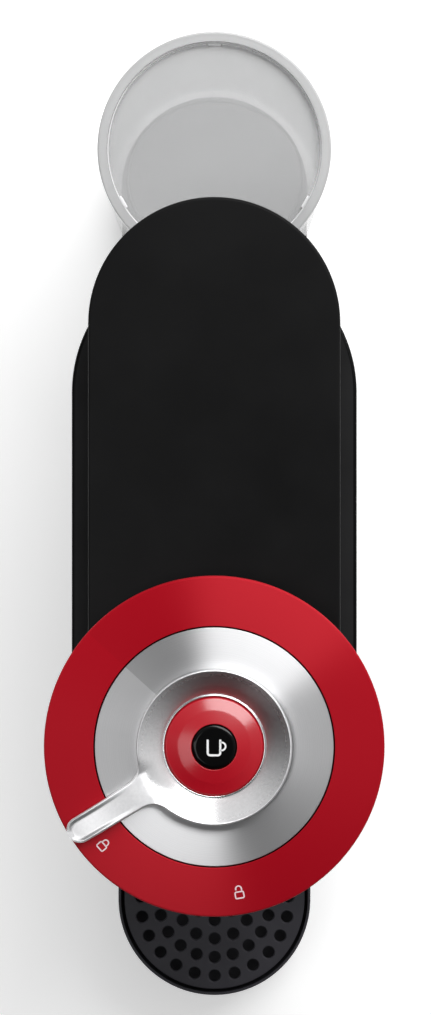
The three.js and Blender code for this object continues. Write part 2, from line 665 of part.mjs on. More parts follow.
function armShell() {
  const edge = 1.2;
  const outside = pill(HEAD_Y, ARM_REAR_Y, [
    [ARM_RADIUS, ARM_BOTTOM],
    [ARM_RADIUS, ARM_TOP - edge],
    [ARM_RADIUS - 0.35, ARM_TOP - 0.35],
    [ARM_RADIUS - edge, ARM_TOP],
  ]);
  const inside = plainPill(HEAD_Y, ARM_REAR_Y, ARM_RADIUS - WALL, ARM_BOTTOM - 1, ARM_TOP - WALL);
  const cavity = cut(inside, underTail(WALL, ARM_RADIUS));
  const headHole = drum(0, HEAD_Y, ARM_TOP - WALL - 1, ARM_TOP + 1, 40);
  const lugSlot = block(
    -RIB_INNER_X,
    RIB_INNER_X,
    HINGE_Y - 10,
    HINGE_Y + 18,
    ARM_BOTTOM - 1,
    ARM_TOP - WALL - 3,
  );
  const ribs = [-1, 1].map((side) => {
    const [x0, x1] = [RIB_INNER_X, RIB_INNER_X + RIB_WIDTH].map((x) => side * x).sort((a, b) => a - b);
    return join(
      rod(x0, x1, HINGE_Y, HINGE_Z, LUG_RADIUS, SMALL_ROUND),
      block(x0, x1, HINGE_Y - LUG_RADIUS, HINGE_Y + LUG_RADIUS, HINGE_Z, ARM_TOP - WALL + 0.5),
    );
  });
  const boreEnd = RIB_INNER_X + RIB_WIDTH + 1;
  const bore = rod(-boreEnd, boreEnd, HINGE_Y, HINGE_Z, HINGE_PIN_RADIUS + GAP, SMALL_ROUND);
  // The fixed hose to the hinge stands in this notch while the arm swings.
  const hoseNotch = block(HOSE_X - 4, HOSE_X + 4, HINGE_Y - 11, HINGE_Y + 6, ARM_BOTTOM - 1, HINGE_Z - 2);
  const shell = cut(outside, underTail(0, ARM_RADIUS + 1), cavity, lugSlot, hoseNotch);
  return cut(join(shell, ...ribs), headHole, bore);
}

function armBottomCover() {
  const top = ARM_BOTTOM + WALL;
  const plate = plainPill(HEAD_Y, ARM_REAR_Y, ARM_RADIUS - WALL - GAP, ARM_BOTTOM, top);
  const headHole = drum(0, HEAD_Y, ARM_BOTTOM - 1, top + 1, LOCK_LUG_RADIUS + 1.4);
  const rear = block(-ARM_RADIUS, ARM_RADIUS, HINGE_Y - 11, TAIL_END_Y, ARM_BOTTOM - 1, top + 1);
  return cut(plate, headHole, rear);
}

const hingePin = () => {
  const end = RIB_INNER_X + RIB_WIDTH + 1;
  return rod(-end, end, HINGE_Y, HINGE_Z, HINGE_PIN_RADIUS);
};

// Torsion spring round the hinge pin, between the lugs: it lifts the unlocked arm.
function hingeSpring() {
  const reach = LUG_INNER_X - 2;
  return coil(0, 0, -reach, reach, 3.6, 0.8, 4)
    .rotate([0, 90, 0])
    .translate([0, HINGE_Y, HINGE_Z]);
}

// The hose reaches the injection block between two legs of the locking ring, which never sweep through this angle.
const HOSE_ANGLE = THREE.MathUtils.degToRad(120);
const towardsHead = (radius) => [
  radius * Math.cos(HOSE_ANGLE),
  HEAD_Y + radius * Math.sin(HOSE_ANGLE),
  HINGE_Z + 4,
];

const armHose = () =>
  hose(
    [
      [HOSE_X + 4, HINGE_Y, HINGE_Z],
      [HOSE_X + 5.4, HINGE_Y - 0.2, HINGE_Z],
      [HOSE_X + 6, HINGE_Y - 12, HINGE_Z + 2],
      [-30, 60, HINGE_Z + 4],
      [-28, 0, HINGE_Z + 4],
      ...[50, 32, 24, INJECTOR_RADIUS + 0.6].map(towardsHead),
    ],
    HOSE_RADIUS - 0.5,
    30,
  );

// ---- head: rings, cap and button ----------------------------------------------------------------------------
const RING_INNER_Z = 243.2;
const RING_OUTER_Z = 240.6;
const RING_SKIN = 1.5;
const RING_LIP = 8;
const DIAL_INNER_Z = 243.5;
const CARRIER_FLOOR = ARM_TOP + GAP;
const CARRIER_SKIN = 2.5;
const COLUMN_TOP = 236;
const CAP_EDGE_Z = 239.6;
const CAP_CREST_Z = 243.4;

// The thin anodised ring, slightly conical, with a lip folded down round its edge.
const redRing = () =>
  turned(
    [
      [DIAL_RADIUS + GAP, RING_INNER_Z],
      [HEAD_RADIUS - 1.2, RING_OUTER_Z + 0.1],
      [HEAD_RADIUS, RING_OUTER_Z - 1],
      [HEAD_RADIUS, RING_OUTER_Z - RING_LIP],
      [HEAD_RADIUS - RING_SKIN, RING_OUTER_Z - RING_LIP],
      [HEAD_RADIUS - RING_SKIN, RING_OUTER_Z - RING_SKIN - 0.6],
      [DIAL_RADIUS + GAP, RING_INNER_Z - RING_SKIN],
    ],
    0,
    HEAD_Y,
    HEAD_ROUND,
  );

// The silver dial is all but flat.
const silverDial = () =>
  turned(
    [
      [HUB_RADIUS + SLIDE_GAP, DIAL_INNER_Z],
      [DIAL_RADIUS, RING_INNER_Z - 0.3],
      [DIAL_RADIUS, RING_INNER_Z - RING_SKIN - 0.6],
      [HUB_RADIUS + SLIDE_GAP, DIAL_INNER_Z - RING_SKIN],
    ],
    0,
    HEAD_Y,
    HEAD_ROUND,
  );

// The black moulding that carries the rings. Three arc slots let the locking ring's legs through.
function headCarrier() {
  const rimInner = HEAD_RADIUS - RING_SKIN - GAP;
  const low = RING_OUTER_Z - RING_SKIN - 1;
  const bowl = turned(
    [
      [0, CARRIER_FLOOR],
      [ARM_RADIUS, CARRIER_FLOOR],
      [rimInner, low - 3],
      [rimInner, low],
      [DIAL_RADIUS + 4, low + 1.4],
      [DIAL_RADIUS + 4, low - 3],
      [DIAL_RADIUS - 4, CARRIER_FLOOR + CARRIER_SKIN],
      [18, CARRIER_FLOOR + CARRIER_SKIN],
      [18, COLUMN_TOP],
      [15, COLUMN_TOP],
      [15, CARRIER_FLOOR + CARRIER_SKIN],
      [0, CARRIER_FLOOR + CARRIER_SKIN],
    ],
    0,
    HEAD_Y,
  );
  const slots = LEG_ANGLES.map((angle) =>
    sector(
      LEG_INNER - SLIDE_GAP,
      LEG_OUTER + SLIDE_GAP,
      CARRIER_FLOOR - 1,
      CARRIER_FLOOR + CARRIER_SKIN + 1,
      angle + LEVER_TRAVEL / 2,
      LEG_ANGLE + LEVER_TRAVEL + 4,
    ),
  );
  const dialSeat = turned(
    [
      [HUB_RADIUS + 3, CARRIER_FLOOR + CARRIER_SKIN - 0.5],
      [HUB_RADIUS + 5, CARRIER_FLOOR + CARRIER_SKIN - 0.5],
      [HUB_RADIUS + 5, DIAL_INNER_Z - RING_SKIN - 0.7],
      [HUB_RADIUS + 3, DIAL_INNER_Z - RING_SKIN - 0.7],
    ],
    0,
    HEAD_Y,
  );
  return cut(join(bowl, dialSeat), ...slots);
}

const centreCap = () =>
  turned(
    [
      [BUTTON_RADIUS + 0.4, CAP_CREST_Z],
      [12.5, CAP_CREST_Z - 0.4],
      [16.5, CAP_CREST_Z - 1.8],
      [CAP_RADIUS, CAP_EDGE_Z],
      [CAP_RADIUS, COLUMN_TOP + 1.5],
      [CAP_RADIUS - 4.9, COLUMN_TOP + GAP],
      [BUTTON_RADIUS + 2, CAP_CREST_Z - 3.2],
      [BUTTON_RADIUS + 0.4, CAP_CREST_Z - 2.2],
    ],
    0,
    HEAD_Y,
  );

const BOARD_TOP = CARRIER_FLOOR + CARRIER_SKIN + GAP + 1.6;
const brewButton = () =>
  turned(
    [
      [0, BOARD_TOP + 4.4],
      [2, BOARD_TOP + 4.4],
      [2, CAP_CREST_Z - 3],
      [BUTTON_RADIUS, CAP_CREST_Z - 3],
      [BUTTON_RADIUS, CAP_CREST_Z - 0.2],
      [BUTTON_RADIUS - 0.8, CAP_CREST_Z + 0.2],
      [0, CAP_CREST_Z + 0.3],
    ],
    0,
    HEAD_Y,
    SMALL_ROUND,
  );

const buttonSpring = () => coil(0, HEAD_Y, BOARD_TOP + 0.2, CAP_CREST_Z - 3.2 - BUTTON_TRAVEL, 4.6, 0.4, 4);

function switchBoard() {
  const disc = drum(0, HEAD_Y, BOARD_TOP - 1.6, BOARD_TOP, 14, SMALL_ROUND);
  return join(disc, block(-3, 3, HEAD_Y - 3, HEAD_Y + 3, BOARD_TOP - 0.5, BOARD_TOP + 2.8));
}

// ---- lever and locking ring ---------------------------------------------------------------------------------
const LOCK_RING_RADIUS = 32.5;
const LOCK_LUG_RADIUS = 34.5;
const LOCK_RING_LOW = 196;
const LOCK_RING_HIGH = 199.5;
const LEG_ANGLES = [30, 150, 270];

// The lever's outline: the hub circle and a slightly tapering arm with filleted roots.
function leverPlate() {
  const reach = HUB_RADIUS + LEVER_FILLET;
  const rise = LEVER_ROOT_HALF + LEVER_FILLET;
  const filletX = Math.sqrt(reach ** 2 - rise ** 2);
  const hubAngle = Math.atan2(rise, filletX);
  const shape = new THREE.Shape();
  shape.absarc(LEVER_REACH, 0, LEVER_TIP_HALF, -Math.PI / 2, Math.PI / 2, false);
  shape.absarc(filletX, rise, LEVER_FILLET, -Math.PI / 2, -Math.PI + hubAngle, true);
  shape.absarc(0, 0, HUB_RADIUS, hubAngle, 2 * Math.PI - hubAngle, false);
  shape.absarc(filletX, -rise, LEVER_FILLET, Math.PI - hubAngle, Math.PI / 2, true);
  const options = { depth: LEVER_TOP - LEVER_BOTTOM, bevelEnabled: false, curveSegments: 10 };
  const plate = new THREE.ExtrudeGeometry(shape, options);
  return solid(plate.rotateZ(LEVER_ANGLE).translate(0, HEAD_Y, LEVER_BOTTOM));
}

function lever() {
  const bore = CAP_RADIUS + SLIDE_GAP;
  const bowlEdge = HUB_RADIUS - 1;
  const hub = turned(
    [
      [bore, CAP_EDGE_Z],
      [bowlEdge, LEVER_TOP],
      [HUB_RADIUS, LEVER_TOP - 0.7],
      [HUB_RADIUS, DIAL_INNER_Z - 1.5],
      [HUB_RADIUS - 1.6, DIAL_INNER_Z - 1.5],
      [HUB_RADIUS - 1.6, LEVER_TOP - 3.8],
      [bore, CAP_EDGE_Z - 1.8],
    ],
    0,
    HEAD_Y,
  );
  const armOnly = cut(leverPlate(), drum(0, HEAD_Y, LEVER_BOTTOM - 1, LEVER_TOP + 1, bowlEdge - 0.4));
  return join(hub, armOnly);
}

// The bayonet ring under the arm, with three legs that reach up to the lever's hub.
function lockingRing() {
  const ring = turned(
    [
      [LEG_INNER, LOCK_RING_LOW],
      [LOCK_RING_RADIUS, LOCK_RING_LOW],
      [LOCK_RING_RADIUS, LOCK_RING_HIGH],
      [LEG_INNER, LOCK_RING_HIGH],
    ],
    0,
    HEAD_Y,
  );
  const legs = LEG_ANGLES.map((angle) =>
    sector(LEG_INNER, LEG_OUTER, LOCK_RING_HIGH - 1, LEVER_TOP, angle, LEG_ANGLE),
  );
  const lugs = LEG_ANGLES.map((angle) =>
    sector(LOCK_RING_RADIUS - 1, LOCK_LUG_RADIUS, LOCK_RING_LOW, LOCK_RING_HIGH, angle, LEG_ANGLE),
  );
  // The legs end just under the hub's sloping underside.
  const aboveLegs = turned(
    [
      [CAP_RADIUS + SLIDE_GAP, CAP_EDGE_Z - 1.8 - GAP],
      [HUB_RADIUS - 1.6, LEVER_TOP - 3.8 - GAP],
      [HUB_RADIUS - 1.6, LEVER_TOP + 1],
      [CAP_RADIUS + SLIDE_GAP, LEVER_TOP + 1],
    ],
    0,
    HEAD_Y,
  );
  return cut(join(ring, ...legs, ...lugs), aboveLegs);
}

// ---- injection head -----------------------------------------------------------------------------------------
const INJECTOR_RADIUS = 18;
const ROTOR_STEM = 8;
const ROTOR_RADIUS = 30.5;
const BEARING_LOW = 203;
const BEARING_HIGH = 209;

// The fixed block under the carrier that brings hot water to the spinning needle.
const injectionBlock = () =>
  turned(
    [
      [0, CARRIER_FLOOR - GAP],
      [INJECTOR_RADIUS, CARRIER_FLOOR - GAP],
      [INJECTOR_RADIUS, BEARING_LOW],
      [14.4, BEARING_LOW],
      [14.4, BEARING_HIGH + 2],
      [0, BEARING_HIGH + 2],
    ],
    0,
    HEAD_Y,
    SMALL_ROUND,
  );

const rotorBearing = () =>
  turned(
    [
      [ROTOR_STEM + 0.1, BEARING_LOW],
      [14, BEARING_LOW],
      [14, BEARING_HIGH],
      [ROTOR_STEM + 0.1, BEARING_HIGH],
    ],
    0,
    HEAD_Y,
  );

// The spinning plate that presses on the capsule, with the hollow needle in its middle.
const piercingRotor = () =>
  turned(
    [
      [0, 184],
      [1.2, 186],
      [1.2, 191.5],
      [26, 191.5],
      [26, 193],
      [ROTOR_RADIUS, 193],
      [ROTOR_RADIUS, 195.2],
      [20, 195.2],
      [12, 199],
      [ROTOR_STEM, 202.4],
      [ROTOR_STEM, BEARING_HIGH + 1],
      [0, BEARING_HIGH + 1],
    ],
    0,
    HEAD_Y,
  );

const headSeal = () =>
  turned(
    [
      [26.3, 190.8],
      [ROTOR_RADIUS, 190.8],
      [ROTOR_RADIUS, 192.7],
      [26.3, 192.7],
    ],
    0,
    HEAD_Y,
  );

// ---- tank ---------------------------------------------------------------------------------------------------
const NEST_GAP = 1.5; // air between the tank's hollow front and the housing's round rear
const nest = (extra, z0, z1) => drum(0, REAR_Y, z0, z1, HOUSING_RADIUS + NEST_GAP + extra);
const TANK_BOTTOM = PLATFORM_TOP + GAP;
const TANK_FLOOR = 2.6;
const NOZZLE_FRONT_Y = SOCKET_FRONT_Y + 16;
const POPPET_Y = NOZZLE_FRONT_Y + 3;
const POPPET_TRAVEL = 1.2;
const POPPET_SEAT = 2.6;

// A round shape with the hollow front, shrunk by an inset.
const tankBody = (inset, z0, z1) =>
  cut(drum(0, TANK_Y, z0, z1, TANK_RADIUS - inset, HEAD_ROUND), nest(inset, z0 - 1, z1 + 1));

function tankVessel() {
  const frontWall = Math.max(REAR_Y + HOUSING_RADIUS + NEST_GAP, TANK_Y - TANK_RADIUS);
  const shell = cut(
    tankBody(0.6, TANK_BOTTOM, TANK_TOP),
    tankBody(0.6 + THIN_WALL, TANK_BOTTOM + TANK_FLOOR, TANK_TOP + 1),
  );
  const nozzle = barrel(0, NOZZLE_FRONT_Y, frontWall + THIN_WALL, PORT_Z, NOZZLE_RADIUS);
  const bore = barrel(0, POPPET_Y - POPPET_TRAVEL - GAP, frontWall + THIN_WALL + 3, PORT_Z, NOZZLE_BORE, TINY_ROUND);
  const seatHole = barrel(0, NOZZLE_FRONT_Y - 1, POPPET_Y, PORT_Z, POPPET_SEAT, TINY_ROUND);
  return cut(join(shell, nozzle), bore, seatHole);
}

// The lid's thick rim stands above its plate, and a thin skirt reaches into the vessel.
function tankLid() {
  const plateTop = TANK_TOP + 2.5;
  const low = TANK_TOP + GAP;
  const rim = cut(tankBody(0, low, LID_TOP), tankBody(LID_RIM, plateTop, LID_TOP + 1));
  const skirtInset = 0.6 + THIN_WALL + SLIDE_GAP;
  const skirt = cut(
    tankBody(skirtInset, TANK_TOP - 6, low + 1),
    tankBody(skirtInset + 1.5, TANK_TOP - 7, low),
  );
  return join(rim, skirt);
}

// The flat oval plate on the tank's floor.
function tankFloorPlate() {
  const [halfWidth, halfDepth] = [0.857 * TANK_RADIUS, 0.751 * TANK_RADIUS];
  const z0 = TANK_BOTTOM + TANK_FLOOR + GAP;
  const disc = new THREE.CylinderGeometry(halfWidth, halfWidth, 2, 48).rotateX(Math.PI / 2);
  disc.scale(1, halfDepth / halfWidth, 1).translate(0, TANK_Y + TANK_RADIUS / 10, z0 + 1);
  return solid(disc);
}

const tankPoppet = () =>
  join(
    barrel(0, POPPET_Y, POPPET_Y + 3, PORT_Z, NOZZLE_BORE - SLIDE_GAP, TINY_ROUND),
    barrel(0, POPPET_Y + 2, POPPET_Y + 11, PORT_Z, 1.5, TINY_ROUND),
  );

const portSeal = () =>
  cut(
    barrel(0, NOZZLE_FRONT_Y - 3, NOZZLE_FRONT_Y - 0.4, PORT_Z, SOCKET_BORE - GAP),
    barrel(0, NOZZLE_FRONT_Y - 4, NOZZLE_FRONT_Y + 1, PORT_Z, 3.6, TINY_ROUND),
  );

// ---- drip tray, grid and capsule container ------------------------------------------------------------------
const TRAY_REAR_GAP = 1;
// The tray's outline: a round front and straight sides that end against the column's round face.
function trayOutline(radius, extra, z0, z1) {
  const column = drum(0, COLUMN_FRONT_Y, z0 - 1, z1 + 1, COLUMN_RADIUS + TRAY_REAR_GAP + extra);
  const front = plainPill(TRAY_Y, COLUMN_FRONT_Y, radius, z0, z1);
  return cut(front, column, block(-100, 100, COLUMN_FRONT_Y - 20, 100, z0 - 1, z1 + 1));
}

function dripTray() {
  const floor = TONGUE_TOP + GAP;
  const outside = trayOutline(TRAY_RADIUS, 0, floor, TRAY_TOP);
  const inside = trayOutline(TRAY_RADIUS - THIN_WALL, THIN_WALL, floor + THIN_WALL, TRAY_TOP + 1);
  const postTop = TRAY_TOP - 0.5 - GRID_THICKNESS - GAP;
  const posts = [
    [-30, TRAY_Y + 8],
    [30, TRAY_Y + 8],
    [-32, TRAY_Y + 70],
    [32, TRAY_Y + 70],
  ].map(([x, y]) => drum(x, y, floor, postTop, 3, TINY_ROUND));
  return join(cut(outside, inside), ...posts);
}

// The perforated cup stand: rings of holes about the tray's round centre, and rows behind them.
function cupGrid() {
  const top = TRAY_TOP - 0.5;
  const low = top - GRID_THICKNESS;
  const hole = (x, y) => drum(x, y, low - 1, top + 1, GRID_HOLE_RADIUS, 8);
  const holes = [hole(0, GRID_CENTRE_Y)];
  GRID_RING_HOLES.forEach((count, ring) => {
    const radius = GRID_RING_PITCH * (ring + 1);
    for (let i = 0; i < count; i++) {
      const a = -Math.PI / 2 + (2 * Math.PI * i) / count;
      holes.push(hole(radius * Math.cos(a), GRID_CENTRE_Y + radius * Math.sin(a)));
    }
  });
  const plate = trayOutline(GRID_RADIUS, TRAY_RADIUS - GRID_RADIUS, low, top);
  return cut(plate, ...holes);
}

function capsuleContainer() {
  const body = (inset, z0, z1) =>
    common(
      plainPill(COLUMN_FRONT_Y, REAR_Y, COLUMN_RADIUS - inset, z0, z1),
      block(
        -CONTAINER_HALF_WIDTH + inset,
        CONTAINER_HALF_WIDTH - inset,
        -200,
        CONTAINER_REAR_Y - inset,
        z0,
        z1,
      ),
    );
  return cut(
    body(0, CONTAINER_BOTTOM, CONTAINER_TOP),
    body(THIN_WALL, CONTAINER_BOTTOM + THIN_WALL, CONTAINER_TOP + 1),
  );
}

// ---- the assembly -------------------------------------------------------------------------------------------
const machine = new THREE.Group();
function add(name, made, material) {
  const mesh = new THREE.Mesh(geometryOf(made), material);
  mesh.name = name;
  machine.add(mesh);
}

add("base_plate", basePlate(), MATTE_BLACK);
for (const [name, x, y] of FOOT_PLACES) add(name, foot(x, y), RUBBER);
for (const [name, x, y] of SCREW_PLACES) add(name, baseScrew(x, y), STEEL);
add("column_housing", columnHousing(), MATTE_BLACK);
add("brew_housing", brewHousing(), MATTE_BLACK);
add("deck_plate", deck(), MATTE_BLACK);
add("capsule_chute", capsuleChute(), MATTE_BLACK);

add("spin_motor", spinMotor(), STEEL);
add("motor_shaft", motorShaft(), STEEL);
add("capsule_holder", capsuleHolder(), STEEL);
add("coffee_collector", coffeeCollector(), MATTE_BLACK);
add("coffee_spout", coffeeSpout(), MATTE_BLACK);
add("latch_collar", latchCollar(), STEEL);
add("code_reader", codeReader(), GLOSS_BLACK);

add("tank_socket", tankSocket(), WHITE_PLASTIC);
add("cord_grommet", cordGrommet(), RUBBER);
add("flow_meter", flowMeter(), WHITE_PLASTIC);
add("pump", pump(), BRASS);
add("pump_bracket", pumpBracket(), STEEL);
add("pump_mount_lower", pumpMount(4, PUMP_LOW + 8.3, PUMP_LOW + 9.7), RUBBER);
add("pump_mount_upper", pumpMount(3.5, PUMP_HIGH - 7.7, PUMP_HIGH - 5.3), RUBBER);
add("heater", heater(), CAST_METAL);
add("control_board", controlBoard(), BOARD_GREEN);
add("tank_hose", tankHose(), SILICONE);
add("suction_hose", suctionHose(), SILICONE);
add("pressure_hose", pressureHose(), SILICONE);
add("brew_hose", brewHose(), SILICONE);

add("arm_shell", armShell(), MATTE_BLACK);
add("arm_bottom_cover", armBottomCover(), MATTE_BLACK);
add("hinge_pin", hingePin(), STEEL);
add("hinge_spring", hingeSpring(), STEEL);
add("arm_hose", armHose(), SILICONE);

add("head_carrier", headCarrier(), MATTE_BLACK);
add("red_ring", redRing(), RED_METAL);
add("silver_dial", silverDial(), SILVER);
add("centre_cap", centreCap(), RED_METAL);
add("brew_button", brewButton(), GLOSS_BLACK);
add("button_spring", buttonSpring(), STEEL);
add("switch_board", switchBoard(), BOARD_GREEN);
add("lever", lever(), SILVER);
add("locking_ring", lockingRing(), STEEL);

add("injection_block", injectionBlock(), WHITE_PLASTIC);
add("rotor_bearing", rotorBearing(), STEEL);
add("piercing_rotor", piercingRotor(), STEEL);
add("head_seal", headSeal(), SILICONE);

add("tank_vessel", tankVessel(), CLEAR);
add("tank_lid", tankLid(), CLEAR);
add("tank_floor_plate", tankFloorPlate(), LIGHT_GREY);
add("tank_poppet", tankPoppet(), WHITE_PLASTIC);
add("port_seal", portSeal(), RUBBER);

add("drip_tray", dripTray(), MATTE_BLACK);
add("cup_grid", cupGrid(), MATTE_BLACK);
add("capsule_container", capsuleContainer(), MATTE_BLACK);

export default machine;
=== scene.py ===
"""Looks of the pod coffee machine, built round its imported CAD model.

Lengths are millimetres in this script and metres in Blender. +Z is up and the drip tray faces -Y.
"""

import math

import bmesh
import bpy
from mathutils import Matrix, Vector


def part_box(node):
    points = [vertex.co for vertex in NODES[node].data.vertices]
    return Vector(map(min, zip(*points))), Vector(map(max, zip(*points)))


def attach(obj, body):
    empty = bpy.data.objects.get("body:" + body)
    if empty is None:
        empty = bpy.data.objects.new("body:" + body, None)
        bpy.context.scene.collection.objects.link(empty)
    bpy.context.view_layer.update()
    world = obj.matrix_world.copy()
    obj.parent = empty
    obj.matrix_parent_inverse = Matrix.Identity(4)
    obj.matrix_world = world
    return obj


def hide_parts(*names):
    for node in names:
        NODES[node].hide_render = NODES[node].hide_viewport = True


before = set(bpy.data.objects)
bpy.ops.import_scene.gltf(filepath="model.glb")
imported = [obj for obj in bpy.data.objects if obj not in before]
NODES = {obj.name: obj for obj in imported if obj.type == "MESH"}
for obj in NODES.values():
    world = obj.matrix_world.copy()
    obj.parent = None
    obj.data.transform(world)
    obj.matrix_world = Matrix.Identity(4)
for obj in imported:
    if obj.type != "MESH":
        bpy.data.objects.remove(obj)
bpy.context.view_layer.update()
MM = 0.001


# ---- places and sizes that come from the CAD --------------------
def low(node):
    return Vector(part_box(node)[0]) / MM


def high(node):
    return Vector(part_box(node)[1]) / MM


def mid(node, axis):
    return (getattr(low(node), axis) + getattr(high(node), axis)) / 2


HEAD = (0, mid("red_ring", "y"))
RING_R = high("red_ring").x
RING_LOW = low("red_ring").z
RING_TOP = high("red_ring").z
DIAL_R = high("silver_dial").x
CAP_R = high("centre_cap").x
CAP_TOP = high("centre_cap").z
BUTTON_R = high("brew_button").x
BUTTON_TOP = high("brew_button").z
LEVER_TOP = high("lever").z
ARM_R = high("arm_shell").x
ARM_TOP = high("arm_shell").z
ARM_LOW = low("arm_shell").z
ARM_REAR_Y = high("arm_shell").y - ARM_R
HOUSING_R = high("brew_housing").x
HOUSING_LOW = low("brew_housing").z
REAR_Y = high("brew_housing").y - HOUSING_R
DECK_LOW = low("deck_plate").z
COLUMN_R = high("column_housing").x
COLUMN_LOW = low("column_housing").z
COLUMN_FRONT_Y = low("column_housing").y + COLUMN_R
TRAY_R = high("drip_tray").x
TRAY_Y = low("drip_tray").y + TRAY_R
TRAY_LOW = low("drip_tray").z
TRAY_TOP = high("drip_tray").z
GRID_R = high("cup_grid").x
GRID_LOW = low("cup_grid").z
GRID_TOP = high("cup_grid").z
TANK_R = high("tank_lid").x
TANK_Y = high("tank_lid").y - TANK_R
TANK_LOW = low("tank_floor_plate").z - 2.9
TANK_TOP = high("tank_vessel").z
LID_TOP = high("tank_lid").z
HINGE_Y = mid("hinge_pin", "y")
HINGE_Z = mid("hinge_pin", "z")

# ---- other sizes, in millimetres --------------------
WALL = 2.5
THIN_WALL = 2.0
DECK_TOP = DECK_LOW + 3
CHAMBER_R = 37  # the deck's round mouth
NEST_R = HOUSING_R + 1.5  # the tank's hollow front follows the housing's round rear at this radius
COLUMN_CLEAR = COLUMN_R + 1  # the tray's rear edge follows the column's round front at this radius
DIAL_TOP = RING_TOP + 0.3
RING_SLOPE = (RING_TOP - (RING_LOW + 8)) / (RING_R - DIAL_R)  # how fast the red ring falls to its edge

HUB_R = 31.0  # outer edge of the lever's hub
LEVER_ANGLE = math.radians(211.5)
LEVER_HALF = 5.3  # half width of the arm at its round end
LEVER_ROOT_HALF = 5.6
LEVER_REACH = RING_R - 0.1 - 5.3  # middle of the arm's round end
LEVER_FILLET = 9
LEVER_CREST = 48  # where the arm's top is highest
LEVER_FALL = 0.0042  # how fast it falls from there, per millimetre squared
BORE_R = CAP_R + 0.65
DISH_LOW = CAP_TOP - 3.9
DISH_SLOPE = (LEVER_TOP - DISH_LOW) / (HUB_R - 0.4 - BORE_R)
EDGE_STEPS = [(0.7, 0), (0.42, 0.05), (0.18, 0.2), (0.04, 0.42), (0, 0.7)]  # inset and drop at the outline
LEG_AZIMUTHS = (30, 150, 270)  # the locking ring's legs and lugs, in degrees
LEG_WIDTH = 24  # degrees

TAIL_START_Y = HINGE_Y - 4  # the arm's underside rises from here to its rear end
TAIL_END_Y = ARM_REAR_Y + ARM_R + 5
TAIL_RISE = 17
TAIL_CLEAR = 0.5  # room between the raised arm and the deck's rear rim

GRID_HOLE_R = 2.75
GRID_PITCH = 8.65
GRID_COUNTS = (6, 12, 19, 23)  # holes in each ring round the middle one
GRID_CENTRE_Y = TRAY_Y - 1.4

SIGN_R = 59.0  # distance of the lock signs from the axis
SIGN_LINE = 0.55
LOCKED_AZIMUTH = 221.5
OPEN_AZIMUTH = 279.7
PAINTED_SHEEN_AZIMUTH = 138  # where the painted reflection, a paler wedge on the dial and the ring, begins, in degrees

BRIGHT_SIDE = 67  # azimuth of the studio's white wall, in degrees
WALL_GLOW = [(0, 0.012), (0.08, 0.03), (0.25, 0.15), (0.5, 0.55), (0.63, 0.85), (0.75, 1.1), (1, 1.3)]
CEILING_LOSS = 0.72  # share of the glow that is lost from the horizon up to the ceiling
FLOOR_REACH = 6000
CAMERA_PLACE = (0.0005, 0.0138, 1.410)  # metres
CAMERA_LENS = 104.03


# ---- mesh helpers --------------------
def finish_mesh(name, bm, material, body, replaced=(), smooth=35):
    """Turns a bmesh in millimetres into a piece that rides on a body and stands for CAD nodes."""
    bmesh.ops.remove_doubles(bm, verts=bm.verts, dist=1e-4)
    bmesh.ops.recalc_face_normals(bm, faces=bm.faces)
    mesh = bpy.data.meshes.new(name)
    bm.to_mesh(mesh)
    bm.free()
    mesh.transform(Matrix.Scale(MM, 4))
    mesh.shade_smooth()
    mesh.set_sharp_from_angle(angle=math.radians(smooth))
    piece = bpy.data.objects.new(name, mesh)
    bpy.context.collection.objects.link(piece)
    for one in material if isinstance(material, list) else [material]:
        mesh.materials.append(one)
    if body:
        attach(piece, body)
    if replaced:
        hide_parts(*replaced)
    return piece


def rounded(corners, steps=5):
    """The closed profile through corners (r, z) or (r, z, fillet), with each fillet as an arc."""
    points = []
    count = len(corners)
    for i, corner in enumerate(corners):
        here = Vector(corner[:2])
        fillet = corner[2] if len(corner) > 2 else 0
        if not fillet:
            points.append(here)
            continue
        before = Vector(corners[i - 1][:2]) - here
        after = Vector(corners[(i + 1) % count][:2]) - here
        half = before.angle(after) / 2
        reach = min(fillet / math.tan(half), 0.49 * before.length, 0.49 * after.length)
        start = here + before.normalized() * reach
        end = here + after.normalized() * reach
        for k in range(steps + 1):
            t = k / steps
            points.append(start.lerp(here, t).lerp(here.lerp(end, t), t))
    return points


def circle_outline(centre, segments=144):
    """Places round a circle as (x, y, direction)."""
    turns = [2 * math.pi * i / segments for i in range(segments)]
    return [(centre[0], centre[1], a) for a in turns]


def pill_outline(y_front, y_rear, segments=144):
    """Places round a stadium with round ends about (0, y_front) and (0, y_rear)."""
    half = segments // 2
    rear = [(0, y_rear, math.pi * i / half) for i in range(half + 1)]
    front = [(0, y_front, math.pi + math.pi * i / half) for i in range(half + 1)]
    return rear + front


def swept(outline, corners, steps=5):
    """The solid made by taking a closed (r, z) profile round an outline. Points at r = 0 close it."""
    profile = rounded(corners, steps)
    bm = bmesh.new()
    rings = []
    for point in profile:
        ring = [
            bm.verts.new((x + point.x * math.cos(a), y + point.x * math.sin(a), point.y))
            for x, y, a in outline
        ]
        rings.append(ring)
    for k, ring in enumerate(rings):
        nxt = rings[(k + 1) % len(rings)]
        if profile[k].x == 0 and profile[(k + 1) % len(profile)].x == 0:
            continue
        for i in range(len(outline)):
            j = (i + 1) % len(outline)
            bm.faces.new((ring[i], ring[j], nxt[j], nxt[i]))
    bmesh.ops.remove_doubles(bm, verts=bm.verts, dist=1e-4)
    bmesh.ops.dissolve_degenerate(bm, edges=bm.edges, dist=1e-5)
    return bm


def turned(corners, centre=HEAD, segments=144, steps=5):
    """A solid of revolution about an upright axis, from its closed (r, z) profile."""
    return swept(circle_outline(centre, segments), corners, steps)


def slab(radius, z0, z1, low_edge=0, high_edge=0):
    """Profile of a solid disc or pill of a radius, with the fillets of its two edges."""
    return [(0, z0), (radius, z0, low_edge), (radius, z1, high_edge), (0, z1)]


